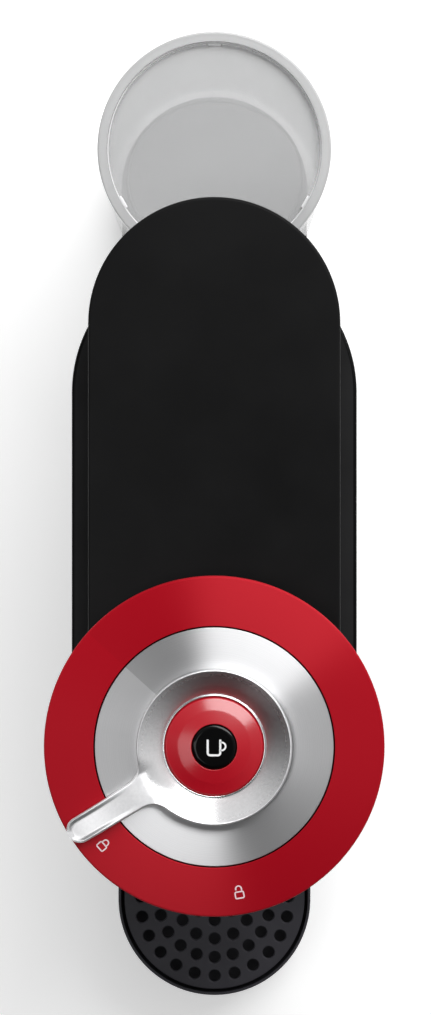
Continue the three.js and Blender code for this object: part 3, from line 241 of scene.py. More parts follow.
def band(r0, r1, z0, z1, edge=0):
    """Profile of a ring with four equal fillets."""
    return [(r0, z0, edge), (r1, z0, edge), (r1, z1, edge), (r0, z1, edge)]


def pill(y_front, y_rear, corners, segments=192, steps=5):
    """A solid with straight sides and round ends about (0, y_front) and (0, y_rear)."""
    return swept(pill_outline(y_front, y_rear, segments), corners, steps)


def box_bm(x0, x1, y0, y1, z0, z1, edge=0):
    """A block, with its edges rounded by edge."""
    bm = bmesh.new()
    bmesh.ops.create_cube(bm, size=1)
    bmesh.ops.scale(bm, vec=(x1 - x0, y1 - y0, z1 - z0), verts=bm.verts)
    bmesh.ops.translate(bm, vec=((x0 + x1) / 2, (y0 + y1) / 2, (z0 + z1) / 2), verts=bm.verts)
    if edge:
        bmesh.ops.bevel(bm, geom=bm.edges[:], offset=edge, segments=3, profile=0.5, affect="EDGES")
    return bm


def drum_bm(x, y, z0, z1, r0, r1=None, segments=48):
    """An upright cylinder or cone, closed."""
    bm = bmesh.new()
    radii = {"radius1": r0, "radius2": r0 if r1 is None else r1}
    place = Matrix.Translation((x, y, (z0 + z1) / 2))
    bmesh.ops.create_cone(bm, cap_ends=True, segments=segments, depth=z1 - z0, matrix=place, **radii)
    return bm


def barrel_bm(x, y0, y1, z, radius, segments=48):
    """A cylinder lying along Y."""
    bm = drum_bm(0, 0, y0, y1, radius, segments=segments)
    turn = Matrix.Translation((x, 0, z)) @ Matrix.Rotation(-math.pi / 2, 4, "X")
    bmesh.ops.transform(bm, matrix=turn, verts=bm.verts)
    return bm


def rod_bm(x0, x1, y, z, radius, segments=48):
    """A cylinder lying along X."""
    bm = drum_bm(0, 0, x0, x1, radius, segments=segments)
    turn = Matrix.Translation((0, y, z)) @ Matrix.Rotation(math.pi / 2, 4, "Y")
    bmesh.ops.transform(bm, matrix=turn, verts=bm.verts)
    return bm


def prism_bm(corners, x0, x1):
    """A prism along X from (y, z) corners."""
    bm = bmesh.new()
    sides = [[bm.verts.new((x, y, z)) for y, z in corners] for x in (x0, x1)]
    bm.faces.new(sides[0])
    bm.faces.new(sides[1])
    for i in range(len(corners)):
        j = (i + 1) % len(corners)
        bm.faces.new((sides[0][i], sides[0][j], sides[1][j], sides[1][i]))
    return bm


def merged(*parts):
    """Several bmeshes as one, without joining their surfaces."""
    whole = parts[0]
    for part in parts[1:]:
        mesh = bpy.data.meshes.new("part")
        part.to_mesh(mesh)
        part.free()
        whole.from_mesh(mesh)
        bpy.data.meshes.remove(mesh)
    return whole


def combined(base, cutters, operation="DIFFERENCE"):
    """The base bmesh after one boolean with each cutter in turn."""

    def object_of(bm, name):
        bmesh.ops.recalc_face_normals(bm, faces=bm.faces)
        mesh = bpy.data.meshes.new(name)
        bm.to_mesh(mesh)
        bm.free()
        made = bpy.data.objects.new(name, mesh)
        bpy.context.collection.objects.link(made)
        return made

    body = object_of(base, "base")
    tools = [object_of(cutter, "cutter") for cutter in cutters]
    for tool in tools:
        step = body.modifiers.new("cut", "BOOLEAN")
        step.operation = operation
        step.solver = "EXACT"
        step.object = tool
    graph = bpy.context.evaluated_depsgraph_get()
    graph.update()
    result = bmesh.new()
    result.from_object(body, graph)
    for one in [body, *tools]:
        mesh = one.data
        bpy.data.objects.remove(one)
        bpy.data.meshes.remove(mesh)
    return result


# ---- materials --------------------
class Nodes:
    """Short calls for adding nodes to a tree."""

    def __init__(self, tree):
        self.tree = tree

    def node(self, kind, **settings):
        made = self.tree.nodes.new(kind)
        for key, value in settings.items():
            setattr(made, key, value)
        return made

    def link(self, out, socket):
        self.tree.links.new(out, socket)

    def math(self, operation, *values):
        made = self.node("ShaderNodeMath", operation=operation)
        for value, socket in zip(values, made.inputs):
            if isinstance(value, (int, float)):
                socket.default_value = value
            else:
                self.link(value, socket)
        return made.outputs[0]

    def ramp(self, value, stops):
        made = self.node("ShaderNodeValToRGB")
        elements = made.color_ramp.elements
        while len(elements) < len(stops):
            elements.new(0.5)
        for element, (at, color) in zip(elements, stops):
            element.position = at
            element.color = (*color, 1) if isinstance(color, tuple) else (color, color, color, 1)
        self.link(value, made.inputs["Fac"])
        return made.outputs["Color"]

    def span(self, value, low_out, high_out, low_in=0.0, high_in=1.0):
        made = self.node("ShaderNodeMapRange")
        for socket, number in zip(range(1, 5), (low_in, high_in, low_out, high_out)):
            made.inputs[socket].default_value = number
        self.link(value, made.inputs[0])
        return made.outputs[0]

    def scaled(self, color, factor):
        """A colour times a number."""
        made = self.node("ShaderNodeVectorMath", operation="SCALE")
        self.link(color, made.inputs[0])
        self.link(factor, made.inputs["Scale"])
        return made.outputs[0]

    def parts(self, vector):
        """The x, y and z of a vector."""
        made = self.node("ShaderNodeSeparateXYZ")
        self.link(vector, made.inputs[0])
        return made.outputs


class Shader(Nodes):
    """A procedural Principled material. Other sockets are given by name, with _ for a space."""

    def __init__(self, name, color, roughness, metallic=0.0, **sockets):
        self.material = bpy.data.materials.new(name)
        self.material.use_nodes = True
        super().__init__(self.material.node_tree)
        self.bsdf = self.tree.nodes["Principled BSDF"]
        self.bsdf.inputs["Base Color"].default_value = (*color, 1)
        self.bsdf.inputs["Roughness"].default_value = roughness
        self.bsdf.inputs["Metallic"].default_value = metallic
        for socket, value in sockets.items():
            self.bsdf.inputs[socket.replace("_", " ")].default_value = value
        self.place = self.node("ShaderNodeTexCoord").outputs["Object"]

    def noise(self, scale, detail=2.0, vector=None):
        made = self.node("ShaderNodeTexNoise")
        made.inputs["Scale"].default_value = scale
        made.inputs["Detail"].default_value = detail
        self.link(vector or self.place, made.inputs["Vector"])
        return made.outputs["Fac"]

    def mottled(self, value, color, darker, paler, start=0.3, end=0.7):
        """Runs from a darker to a paler share of a colour as a value goes from start to end."""
        self.color(self.ramp(value, [(start, tinted(color, darker)), (end, tinted(color, paler))]))

    def bump(self, height, distance, strength=1.0):
        """Adds a bump of a distance in millimetres, on top of any earlier one."""
        made = self.node("ShaderNodeBump")
        made.inputs["Distance"].default_value = distance * MM
        made.inputs["Strength"].default_value = strength
        self.link(height, made.inputs["Height"])
        earlier = self.bsdf.inputs["Normal"].links
        if earlier:
            self.link(earlier[0].from_socket, made.inputs["Normal"])
        self.link(made.outputs[0], self.bsdf.inputs["Normal"])

    def color(self, out):
        self.link(out, self.bsdf.inputs["Base Color"])

    def roughness(self, out):
        self.link(out, self.bsdf.inputs["Roughness"])

    def around(self, centre):
        """(distance in millimetres, azimuth in degrees, outward direction) about an upright axis."""
        offset = self.node("ShaderNodeVectorMath", operation="SUBTRACT")
        offset.inputs[1].default_value = (centre[0] * MM, centre[1] * MM, 0)
        self.link(self.place, offset.inputs[0])
        x, y, _ = self.parts(offset.outputs[0])
        squared = self.math("ADD", self.math("MULTIPLY", x, x), self.math("MULTIPLY", y, y))
        radius = self.math("SQRT", squared)
        outward = self.node("ShaderNodeCombineXYZ")
        self.link(x, outward.inputs[0])
        self.link(y, outward.inputs[1])
        turned = self.node("ShaderNodeVectorTransform", vector_type="VECTOR")
        turned.convert_from, turned.convert_to = "OBJECT", "WORLD"
        self.link(outward.outputs[0], turned.inputs[0])
        unit = self.node("ShaderNodeVectorMath", operation="NORMALIZE")
        self.link(turned.outputs[0], unit.inputs[0])
        azimuth = self.math("MULTIPLY", self.math("ARCTAN2", y, x), 180 / math.pi)
        return self.math("DIVIDE", radius, MM), azimuth, unit.outputs[0]


def tinted(color, factor):
    return tuple(channel * factor for channel in color)


def moulded_plastic(name, color, roughness, specular=0.5):
    """Spark-eroded matte plastic: fine grain, soft cloudy roughness, a little dust in the grain."""
    shader = Shader(name, color, roughness, Specular_IOR_Level=specular)
    fine = shader.noise(2600, 2)
    cloud = shader.noise(28, 3)
    shader.mottled(cloud, color, 0.86, 1.18)
    shader.roughness(shader.span(cloud, roughness - 0.05, roughness + 0.06))
    shader.bump(fine, 0.02)
    return shader.material


def gloss_plastic(name, color, roughness=0.08, **sockets):
    """Polished plastic with faint orange peel and a few rubbed patches."""
    shader = Shader(name, color, roughness, **sockets)
    shader.roughness(shader.span(shader.noise(60, 4), roughness * 0.7, roughness * 1.6))
    shader.bump(shader.noise(240, 1), 0.003)
    return shader.material


def spun_metal(name, color, roughness, anisotropy, metallic=1.0, painted_sheen=0.0, **sockets):
    """Metal turned on a lathe: fine rings about the axis that stretch its highlights across them.

    The painted sheen is a painted reflection: the share by which the colour is made paler in a wedge just
    past its azimuth, where a bright edge of the room shows in the metal.
    """
    shader = Shader(name, color, roughness, metallic, Anisotropic=anisotropy, **sockets)
    radius, azimuth, outward = shader.around(HEAD)
    shader.link(outward, shader.bsdf.inputs["Tangent"])
    rings = shader.node("ShaderNodeTexNoise", noise_dimensions="1D")
    rings.inputs["Scale"].default_value = 5.5
    rings.inputs["Detail"].default_value = 4
    shader.link(radius, rings.inputs["W"])
    tint = shader.ramp(rings.outputs["Fac"], [(0.3, tinted(color, 0.93)), (0.7, tinted(color, 1.05))])
    # Painted reflection: the colour is made paler in a wedge just past the azimuth.
    if painted_sheen:
        wedge = shader.span(azimuth, 1.0, 0.0, PAINTED_SHEEN_AZIMUTH, PAINTED_SHEEN_AZIMUTH + 34)
        past = shader.math("GREATER_THAN", azimuth, PAINTED_SHEEN_AZIMUTH)
        lift = shader.math("MULTIPLY", shader.math("MULTIPLY", wedge, past), painted_sheen)
        tint = shader.scaled(tint, shader.math("ADD", lift, 1.0))
    shader.color(tint)
    shader.roughness(shader.span(rings.outputs["Fac"], roughness - 0.05, roughness + 0.05))
    shader.bump(rings.outputs["Fac"], 0.002)
    return shader.material


def lever_finish(name, color, anisotropy, azimuth):
    """Metal with a faint grain square to one direction: polished in the hub's dish, satin on the arm."""
    shader = Shader(name, color, 0.3, 1.0, Anisotropic=anisotropy)
    a = math.radians(azimuth)
    turned = shader.node("ShaderNodeVectorTransform", vector_type="VECTOR")
    turned.convert_from, turned.convert_to = "OBJECT", "WORLD"
    turned.inputs[0].default_value = (math.cos(a), math.sin(a), 0)
    shader.link(turned.outputs[0], shader.bsdf.inputs["Tangent"])
    fine = shader.noise(900, 3)
    shader.mottled(fine, color, 0.96, 1.04)
    radius = shader.around(HEAD)[0]
    satin = shader.span(radius, 0.26, 0.36, HUB_R - 3, HUB_R + 3)
    shader.roughness(shader.math("ADD", satin, shader.span(fine, -0.02, 0.02)))
    shader.bump(fine, 0.001)
    return shader.material


def brushed_metal(name, color, roughness, along="X", stretch=40):
    """Sheet metal brushed along one axis."""
    shader = Shader(name, color, roughness, 1.0)
    squeeze = shader.node("ShaderNodeMapping")
    squeeze.inputs["Scale"].default_value = [1 if axis == along else stretch for axis in "XYZ"]
    shader.link(shader.place, squeeze.inputs["Vector"])
    lines = shader.noise(60, 4, squeeze.outputs[0])
    shader.mottled(lines, color, 0.8, 1.12)
    shader.roughness(shader.span(lines, roughness - 0.06, roughness + 0.08))
    shader.bump(lines, 0.004)
    return shader.material


def clear_plastic(name, color, alpha, edge_gain, roughness=0.06):
    """Clear moulded plastic, seen through, and less so where it is seen edge on."""
    shader = Shader(name, color, roughness, IOR=1.5)
    cloud = shader.noise(30, 2)
    shader.roughness(shader.span(cloud, roughness * 0.6, roughness * 1.8))
    shader.bump(shader.noise(90, 1), 0.01)
    rim = shader.node("ShaderNodeLayerWeight")
    rim.inputs["Blend"].default_value = 0.28
    cover = shader.span(rim.outputs["Facing"], alpha, alpha + edge_gain)
    shader.link(cover, shader.bsdf.inputs["Alpha"])
    return shader.material


def rubber(name, color):
    shader = Shader(name, color, 0.85)
    shader.mottled(shader.noise(180, 3), color, 0.75, 1.3)
    shader.bump(shader.noise(900, 2), 0.03)
    return shader.material


def silicone(name, color):
    shader = Shader(name, color, 0.45, Subsurface_Weight=0.15)
    shader.bump(shader.noise(300, 2), 0.02)
    shader.roughness(shader.span(shader.noise(50, 2), 0.38, 0.55))
    return shader.material


def cast_metal(name, color):
    shader = Shader(name, color, 0.5, 1.0)
    shader.mottled(shader.noise(90, 4), color, 0.7, 1.15)
    shader.bump(shader.noise(500, 3), 0.08)
    return shader.material


def board_lacquer(name, color):
    """Green board with paler tracks under the lacquer."""
    shader = Shader(name, color, 0.3)
    tracks = shader.node("ShaderNodeTexBrick")
    tracks.inputs["Scale"].default_value = 160
    tracks.inputs["Color1"].default_value = (*color, 1)
    tracks.inputs["Color2"].default_value = (*tinted(color, 1.5), 1)
    tracks.inputs["Mortar"].default_value = (*tinted(color, 2.4), 1)
    shader.link(shader.place, tracks.inputs["Vector"])
    shader.color(tracks.outputs["Color"])
    return shader.material


def ink(name, color):
    shader = Shader(name, color, 0.5)
    shader.color(shader.ramp(shader.noise(1500, 2), [(0.3, tinted(color, 0.9)), (0.6, color)]))
    return shader.material


ARM_BLACK = moulded_plastic("arm_black", (0.006, 0.006, 0.0062), 0.42, 0.06)
BODY_BLACK = moulded_plastic("body_black", (0.004, 0.004, 0.0043), 0.38, 0.2)
DECK_GREY = moulded_plastic("deck_grey", (0.018, 0.018, 0.0185), 0.5, 0.03)
EDGE_BLACK = moulded_plastic("edge_black", (0.002, 0.002, 0.0022), 0.3, 0.08)
TRAY_BLACK = moulded_plastic("tray_black", (0.034, 0.033, 0.039), 0.42, 0.2)
DARK_INSIDE = moulded_plastic("dark_inside", (0.006, 0.006, 0.0065), 0.6)
GLOSS_BLACK = gloss_plastic("gloss_black", (0.0008, 0.0008, 0.001), 0.07, Specular_IOR_Level=0.25)
# Its last number paints a faint paler wedge on the ring: a painted reflection.
RED_SPUN = spun_metal("red_spun", (0.42, 0.0008, 0.01), 0.45, 1.0, 0.35, 0.06, Specular_IOR_Level=0.3)
LACQUER = {"Coat_Weight": 1.0, "Coat_IOR": 1.6, "Coat_Roughness": 0.2}
RED_GLOSS = gloss_plastic("red_gloss", (0.42, 0.0005, 0.01), 0.4, Specular_IOR_Level=0.1, **LACQUER)
# Its last number paints a paler wedge on the dial: a painted reflection.
SILVER_SPUN = spun_metal("silver_spun", (0.74, 0.74, 0.75), 0.45, 1.0, 1.0, 0.33)
LEVER_METAL = lever_finish("lever_metal", (0.8, 0.8, 0.81), 0.75, BRIGHT_SIDE)
# White plastic for the lid's catches, and for the painted highlight line inside the lid's rim.
WHITE_TRIM_AND_HIGHLIGHT = moulded_plastic("white_trim_and_highlight", (0.85, 0.85, 0.86), 0.3)
CHROME = brushed_metal("chrome", (0.9, 0.9, 0.91), 0.1)
STEEL = brushed_metal("steel", (0.55, 0.56, 0.57), 0.3)
STEEL_SPUN = spun_metal("steel_spun", (0.6, 0.61, 0.62), 0.25, 0.6)
CLEAR = clear_plastic("clear", (0.64, 0.643, 0.646), 0.3, 0.2)
# A paler copy of the clear plastic with no edge darkening: painted light on the lid rim's upright inner
# wall, which would be in shade.
CLEAR_PAINTED_LIGHT = clear_plastic("clear_painted_light", (0.85, 0.852, 0.855), 0.35, 0.0)
CLEAR_RIM = clear_plastic("clear_rim", (0.5, 0.502, 0.505), 0.85, 0.12, 0.15)
FLOOR_GREY = moulded_plastic("floor_plate_grey", (0.23, 0.23, 0.232), 0.5)
FLOOR_EDGE = moulded_plastic("floor_plate_edge", (0.045, 0.045, 0.046), 0.5)
RUBBER = rubber("rubber", (0.02, 0.02, 0.021))
SILICONE = silicone("silicone", (0.62, 0.6, 0.55))
WHITE_PLASTIC = moulded_plastic("white_plastic", (0.68, 0.67, 0.64), 0.45)
BRASS = brushed_metal("brass", (0.62, 0.44, 0.16), 0.3)
BOARD = board_lacquer("board", (0.01, 0.09, 0.03))
CAST = cast_metal("cast_metal", (0.42, 0.43, 0.44))
INK = ink("ink", (0.85, 0.66, 0.70))
WHITE_INK = ink("white_ink", (0.86, 0.86, 0.87))

# CAD nodes that stay as they are, by material
KEPT = {
    STEEL: "base_screw_front_left base_screw_front_right base_screw_rear_left base_screw_rear_right "
    "spin_motor motor_shaft pump_bracket hinge_pin hinge_spring button_spring rotor_bearing",
    SILICONE: "tank_hose suction_hose pressure_hose brew_hose arm_hose",
    WHITE_PLASTIC: "flow_meter injection_block tank_poppet",
    BRASS: "pump",
    BOARD: "control_board switch_board",
    CAST: "heater",
    GLOSS_BLACK: "code_reader",
    BODY_BLACK: "capsule_chute",
    RUBBER: "pump_mount_lower pump_mount_upper port_seal",
}
for kept_material, names in KEPT.items():
    for name in names.split():
        for material_slot in NODES[name].material_slots:
            material_slot.material = kept_material


# ---- head --------------------
def ring_surface(radius):
    """Height of the red ring's top at a distance from the axis."""
    return RING_TOP - (radius - DIAL_R) * RING_SLOPE


def make_red_ring():
    inner = DIAL_R + 0.6
    edge = ring_surface(RING_R)
    corners = [
        (inner, ring_surface(inner), 0.25), (RING_R, edge, 1.1), (RING_R, RING_LOW, 0.4),
        (RING_R - 1.5, RING_LOW, 0.3), (RING_R - 1.5, edge - 2.1, 0.8),
        (inner, RING_TOP - 1.5, 0.2),
    ]
    bm = turned(corners, segments=192)
    finish_mesh("red_ring_fine", bm, RED_SPUN, "arm", ["red_ring"])


def make_silver_dial():
    inner = HUB_R - 1.4
    corners = [
        (inner, DIAL_TOP, 0.2), (DIAL_R, RING_TOP - 0.3, 0.35), (DIAL_R, RING_TOP - 2.1),
        (inner, DIAL_TOP - 1.5),
    ]
    bm = turned(corners, segments=192)
    finish_mesh("silver_dial_fine", bm, SILVER_SPUN, "arm", ["silver_dial"])


def make_head_carrier():
    """The moulding under the rings, with slots for the locking ring's legs."""
    floor_z = low("head_carrier").z
    rim = high("head_carrier").x
    top = high("head_carrier").z
    skin = floor_z + 2.5
    corners = [
        (0, floor_z), (ARM_R, floor_z, 1.0), (rim, top - 3.9, 1.5), (rim, top - 1.6, 0.4),
        (DIAL_R + 4, top - 0.1, 0.4), (DIAL_R + 4, top - 4.4, 0.5), (DIAL_R - 4, skin, 0.8),
        (18, skin), (18, top - 3.4, 0.3), (15, top - 3.4, 0.3), (15, skin), (0, skin),
    ]
    bowl = turned(corners)
    seat_top = DIAL_TOP - 2.3
    seat = turned([(34, skin - 0.5), (36, skin - 0.5), (36, seat_top, 0.3), (34, seat_top, 0.3)])
    slots = [arc_slot(22.4, 26.6, floor_z - 1, skin + 1, centre, 88) for centre in (60, 180, 300)]
    bm = merged(combined(bowl, slots), seat)
    finish_mesh("head_carrier_fine", bm, BODY_BLACK, "arm", ["head_carrier"])


def arc_slot(r0, r1, z0, z1, centre, width, steps=24):
    """A curved bar about the head's axis, from radius r0 to r1, over a width in degrees."""
    bm = bmesh.new()
    rings = []
    for i in range(steps + 1):
        a = math.radians(centre - width / 2 + width * i / steps)
        section = [(r0, z0), (r1, z0), (r1, z1), (r0, z1)]
        place = [(HEAD[0] + r * math.cos(a), HEAD[1] + r * math.sin(a), z) for r, z in section]
        rings.append([bm.verts.new(p) for p in place])
    bm.faces.new(rings[0])
    bm.faces.new(rings[-1])
    for first, second in zip(rings, rings[1:]):
        for k in range(4):
            bm.faces.new((first[k], first[(k + 1) % 4], second[(k + 1) % 4], second[k]))
    return bm


def make_centre_cap():
    """The convex red cap, with its edge rolled under and a small step round the button."""
    hole = BUTTON_R + 0.4
    corners = [
        (hole, CAP_TOP, 0.3), ((hole + CAP_R) / 2, CAP_TOP - 1.45, 9),
        (CAP_R - 0.75, CAP_TOP - 3.25, 0.5), (CAP_R, CAP_TOP - 4.3, 0.3),
        (CAP_R, CAP_TOP - 5.9), (CAP_R - 4.9, CAP_TOP - 7), (BUTTON_R + 2, CAP_TOP - 3.2),
        (hole, CAP_TOP - 2.2, 0.2),
    ]
    bm = turned(corners, steps=8)
    finish_mesh("centre_cap_fine", bm, RED_GLOSS, "arm", ["centre_cap"])


def make_cap_bezel():
    """The thin bright ring that frames the cap."""
    z = CAP_TOP - 3.5
    r0, r1 = CAP_R + 0.04, CAP_R + 0.58
    corners = [(r0, z, 0.24), (r1, z, 0.24), (r1, z - 2), (r0, z - 2)]
    finish_mesh("cap_bezel", turned(corners), CHROME, "arm")


def make_button():
    """The glossy button: a shallow crown, a soft edge and a hidden stem."""
    stem_low = low("brew_button").z
    corners = [
        (0, stem_low), (2, stem_low, 0.3), (2, CAP_TOP - 3, 0.3), (BUTTON_R, CAP_TOP - 3, 0.3),
        (BUTTON_R, BUTTON_TOP - 0.5, 0.6), (BUTTON_R - 1.2, BUTTON_TOP - 0.12, 1.5),
        (0, BUTTON_TOP),
    ]
    bm = turned(corners, segments=96, steps=8)
    finish_mesh("brew_button_fine", bm, GLOSS_BLACK, "button", ["brew_button"])


# ---- lever --------------------

def lever_outline():
    """Outline of hub and arm, anticlockwise from the arm's tip, with the arm along +X."""
    reach = HUB_R + LEVER_FILLET
    rise = LEVER_ROOT_HALF + LEVER_FILLET
    root = math.asin(rise / reach)
    fillet_x = reach * math.cos(root)
    tip = [i * math.pi / 2 / 14 for i in range(14)]
    upper = [Vector((LEVER_REACH + LEVER_HALF * math.cos(a), LEVER_HALF * math.sin(a))) for a in tip]
    start, end = Vector((LEVER_REACH, LEVER_HALF)), Vector((fillet_x, LEVER_ROOT_HALF))
    upper += [start.lerp(end, i / 24) for i in range(24)]
    for i in range(16):
        a = 1.5 * math.pi - (math.pi / 2 - root) * i / 16
        upper.append(Vector((fillet_x + LEVER_FILLET * math.cos(a), rise + LEVER_FILLET * math.sin(a))))
    for i in range(90):
        a = root + (math.pi - root) * i / 90
        upper.append(Vector((HUB_R * math.cos(a), HUB_R * math.sin(a))))
    lower = [Vector((p.x, -p.y)) for p in reversed(upper[1:])]
    return upper + [Vector((-HUB_R, 0))] + lower


def smooth_step(value):
    t = min(1.0, max(0.0, value))
    return t * t * (3 - 2 * t)


def smooth_min(a, b, reach):
    """The smaller of two heights, with a soft change from one to the other."""
    t = min(1.0, max(0.0, 0.5 + 0.5 * (b - a) / reach))
    return b + (a - b) * t - reach * t * (1 - t)


def lever_height(x, y):
    """The dish rises to the hub's rim, and flows out into the scooped arm."""
    dish = DISH_LOW + (math.hypot(x, y) - BORE_R) * DISH_SLOPE
    fall = LEVER_FALL * (2.0 if x > LEVER_CREST else 1.0)
    arm = LEVER_TOP - 0.05 - fall * (x - LEVER_CREST) ** 2
    aside = smooth_step((abs(y) - 6) / 8) if x > 0 else 1.0
    height = smooth_min(dish, arm + (LEVER_TOP + 2 - arm) * aside, 2.6)
    from_edge = LEVER_HALF - (abs(y) if x < LEVER_REACH else math.hypot(x - LEVER_REACH, y))
    scoop = 0.45 * smooth_step((x - 36) / 22) * smooth_step((from_edge - 0.6) / 1.6)
    return min(LEVER_TOP, height - scoop)


def make_lever():
    """Hub, dish and arm as one piece of bright metal."""
    outline = lever_outline()
    count = len(outline)
    normals = []
    for i, point in enumerate(outline):
        along = outline[(i + 1) % count] - outline[i - 1]
        normals.append(Vector((along.y, -along.x)).normalized())
    bore = [point.normalized() * BORE_R for point in outline]
    inner = [point - normal * EDGE_STEPS[0][0] for point, normal in zip(outline, normals)]
    loops = [[(p.x, p.y, DISH_LOW - 1.6) for p in bore]]
    rows = 40
    for k in range(rows + 1):
        row = [a.lerp(b, k / rows) for a, b in zip(bore, inner)]
        loops.append([(p.x, p.y, lever_height(p.x, p.y)) for p in row])
    for inset, drop in EDGE_STEPS[1:]:
        row = [point - normal * inset for point, normal in zip(outline, normals)]
        loops.append([(p.x, p.y, lever_height(q.x, q.y) - drop) for p, q in zip(row, inner)])
    under = DIAL_TOP + 0.4
    loops.append([(p.x, p.y, under) for p in outline])
    collar = [point.normalized() * (HUB_R - 1.8) for point in outline]
    loops.append([(p.x, p.y, under) for p in collar])
    bm = bmesh.new()
    rings = [[bm.verts.new(p) for p in loop] for loop in loops]
    for first, second in zip(rings, rings[1:] + rings[:1]):
        for i in range(count):
            j = (i + 1) % count
            bm.faces.new((first[i], first[j], second[j], second[i]))
    place = Matrix.Translation((*HEAD, 0)) @ Matrix.Rotation(LEVER_ANGLE, 4, "Z")
    bmesh.ops.transform(bm, matrix=place, verts=bm.verts)
    finish_mesh("lever_fine", bm, LEVER_METAL, "lever", ["lever"], 50)


def make_locking_ring():
    """Bayonet ring with its lugs, and three legs up to the hub."""
    z0, z1 = low("locking_ring").z, low("locking_ring").z + 3.5
    ring = turned(band(23, 32.5, z0, z1, 0.4))
    lugs = [arc_slot(32, 34.5, z0, z1, azimuth, LEG_WIDTH, 8) for azimuth in LEG_AZIMUTHS]
    legs = [arc_slot(23, 26, z1 - 1, LEVER_TOP - 7.6, azimuth, LEG_WIDTH, 8) for azimuth in LEG_AZIMUTHS]
    finish_mesh("locking_ring_fine", merged(ring, *lugs, *legs), STEEL_SPUN, "lever", ["locking_ring"])


# ---- signs printed on the head --------------------
def stroke_bm(points, width, height_at, closed=False):
    """A thin printed line through 2D points, laid on a surface whose height is height_at(x, y)."""
    bm = bmesh.new()
    count = len(points)
    sides = []
    for i, point in enumerate(points):
        before = points[i - 1] if closed or i else point
        after = points[(i + 1) % count] if closed or i + 1 < count else point
        along = (after - before).normalized()
        across = Vector((-along.y, along.x)) * width / 2
        pair = [point + across, point - across]
        sides.append([bm.verts.new((p.x, p.y, height_at(p.x, p.y) + 0.06)) for p in pair])
    for i in range(count if closed else count - 1):
        a, b = sides[i], sides[(i + 1) % count]
        bm.faces.new((a[0], a[1], b[1], b[0]))
    faces = bmesh.ops.extrude_face_region(bm, geom=bm.faces[:])
    lifted = [g for g in faces["geom"] if isinstance(g, bmesh.types.BMVert)]
    bmesh.ops.translate(bm, vec=(0, 0, -0.05), verts=lifted)
    return bm


def arc_points(centre, radius, start, end, steps=12):
    """Points on an arc, with its angles in degrees."""
    x, y = centre
    angles = [math.radians(start + (end - start) * i / steps) for i in range(steps + 1)]
    return [Vector((x + radius * math.cos(a), y + radius * math.sin(a))) for a in angles]


def place_sign(lines, azimuth, radius):
    """Moves sign lines, drawn about (0, 0) with up towards the axis, to their place on the red ring."""
    a = math.radians(azimuth)
    outward = Vector((math.cos(a), math.sin(a)))
    across = Vector((-outward.y, outward.x))
    centre = Vector(HEAD) + outward * radius
    return [[centre + across * p.x - outward * p.y for p in line] for line in lines]


def make_lock_sign(name, azimuth, is_open):
    """A plain padlock: a square body and a bow that is either shut or swung aside."""
    body = []
    for x, y, start in ((1.2, -1.7, 270), (1.2, -0.1, 0), (-1.2, -0.1, 90), (-1.2, -1.7, 180)):
        body += arc_points((x, y), 0.5, start, start + 90, 4)
    lift = 0.3 if is_open else 0.0
    bow = [Vector((1.15, 0.4))] + arc_points((0, 1.3 + lift), 1.15, 0, 180)
    bow.append(Vector((-1.15, 1.2 if is_open else 0.4)))
    placed_body, placed_bow = place_sign([body, bow], azimuth, SIGN_R)

    def height_at(x, y):
        return ring_surface((Vector((x, y)) - Vector(HEAD)).length)

    bm = stroke_bm(placed_body, SIGN_LINE, height_at, closed=True)
    bm = merged(bm, stroke_bm(placed_bow, SIGN_LINE, height_at))
    finish_mesh(name, bm, INK, "arm")


def make_lock_signs():
    make_lock_sign("lock_sign_shut", LOCKED_AZIMUTH, False)
    make_lock_sign("lock_sign_open", OPEN_AZIMUTH, True)


def make_cup_sign():
    """A plain cup outline on the button: straight sides, open at the top, and a handle on its right."""
    x0, x1, y0, y1 = -2.6, 2.4, -3.25, 3.0
    cup = [Vector((x0, y1)), Vector((x0, y0 + 1))]
    cup += arc_points((x0 + 1, y0 + 1), 1, 180, 270, 5)
    cup += arc_points((x1 - 1, y0 + 1), 1, 270, 360, 5)
    cup += [Vector((x1, y1))]
    handle = [Vector((x1, 1.9))] + arc_points((x1 + 0.5, 0.3), 1.6, 90, -90, 10) + [Vector((x1, -1.3))]
    lines = [[p + Vector(HEAD) for p in line] for line in (cup, handle)]

    def height_at(x, y):
        return BUTTON_TOP - 0.02

    bm = merged(
        stroke_bm(lines[0], 0.85, height_at),
        stroke_bm(lines[1], 0.7, height_at),
    )
    finish_mesh("cup_sign", bm, WHITE_INK, "button")


# ---- arm --------------------
def under_tail(lift):
    """Everything under the arm's rising tail."""
    corners = [
        (TAIL_START_Y, ARM_LOW - 20), (TAIL_END_Y, ARM_LOW - 20),
        (TAIL_END_Y, ARM_LOW + TAIL_RISE + lift), (TAIL_START_Y, ARM_LOW + lift),
    ]
    return prism_bm(corners, -ARM_R - 2, ARM_R + 2)


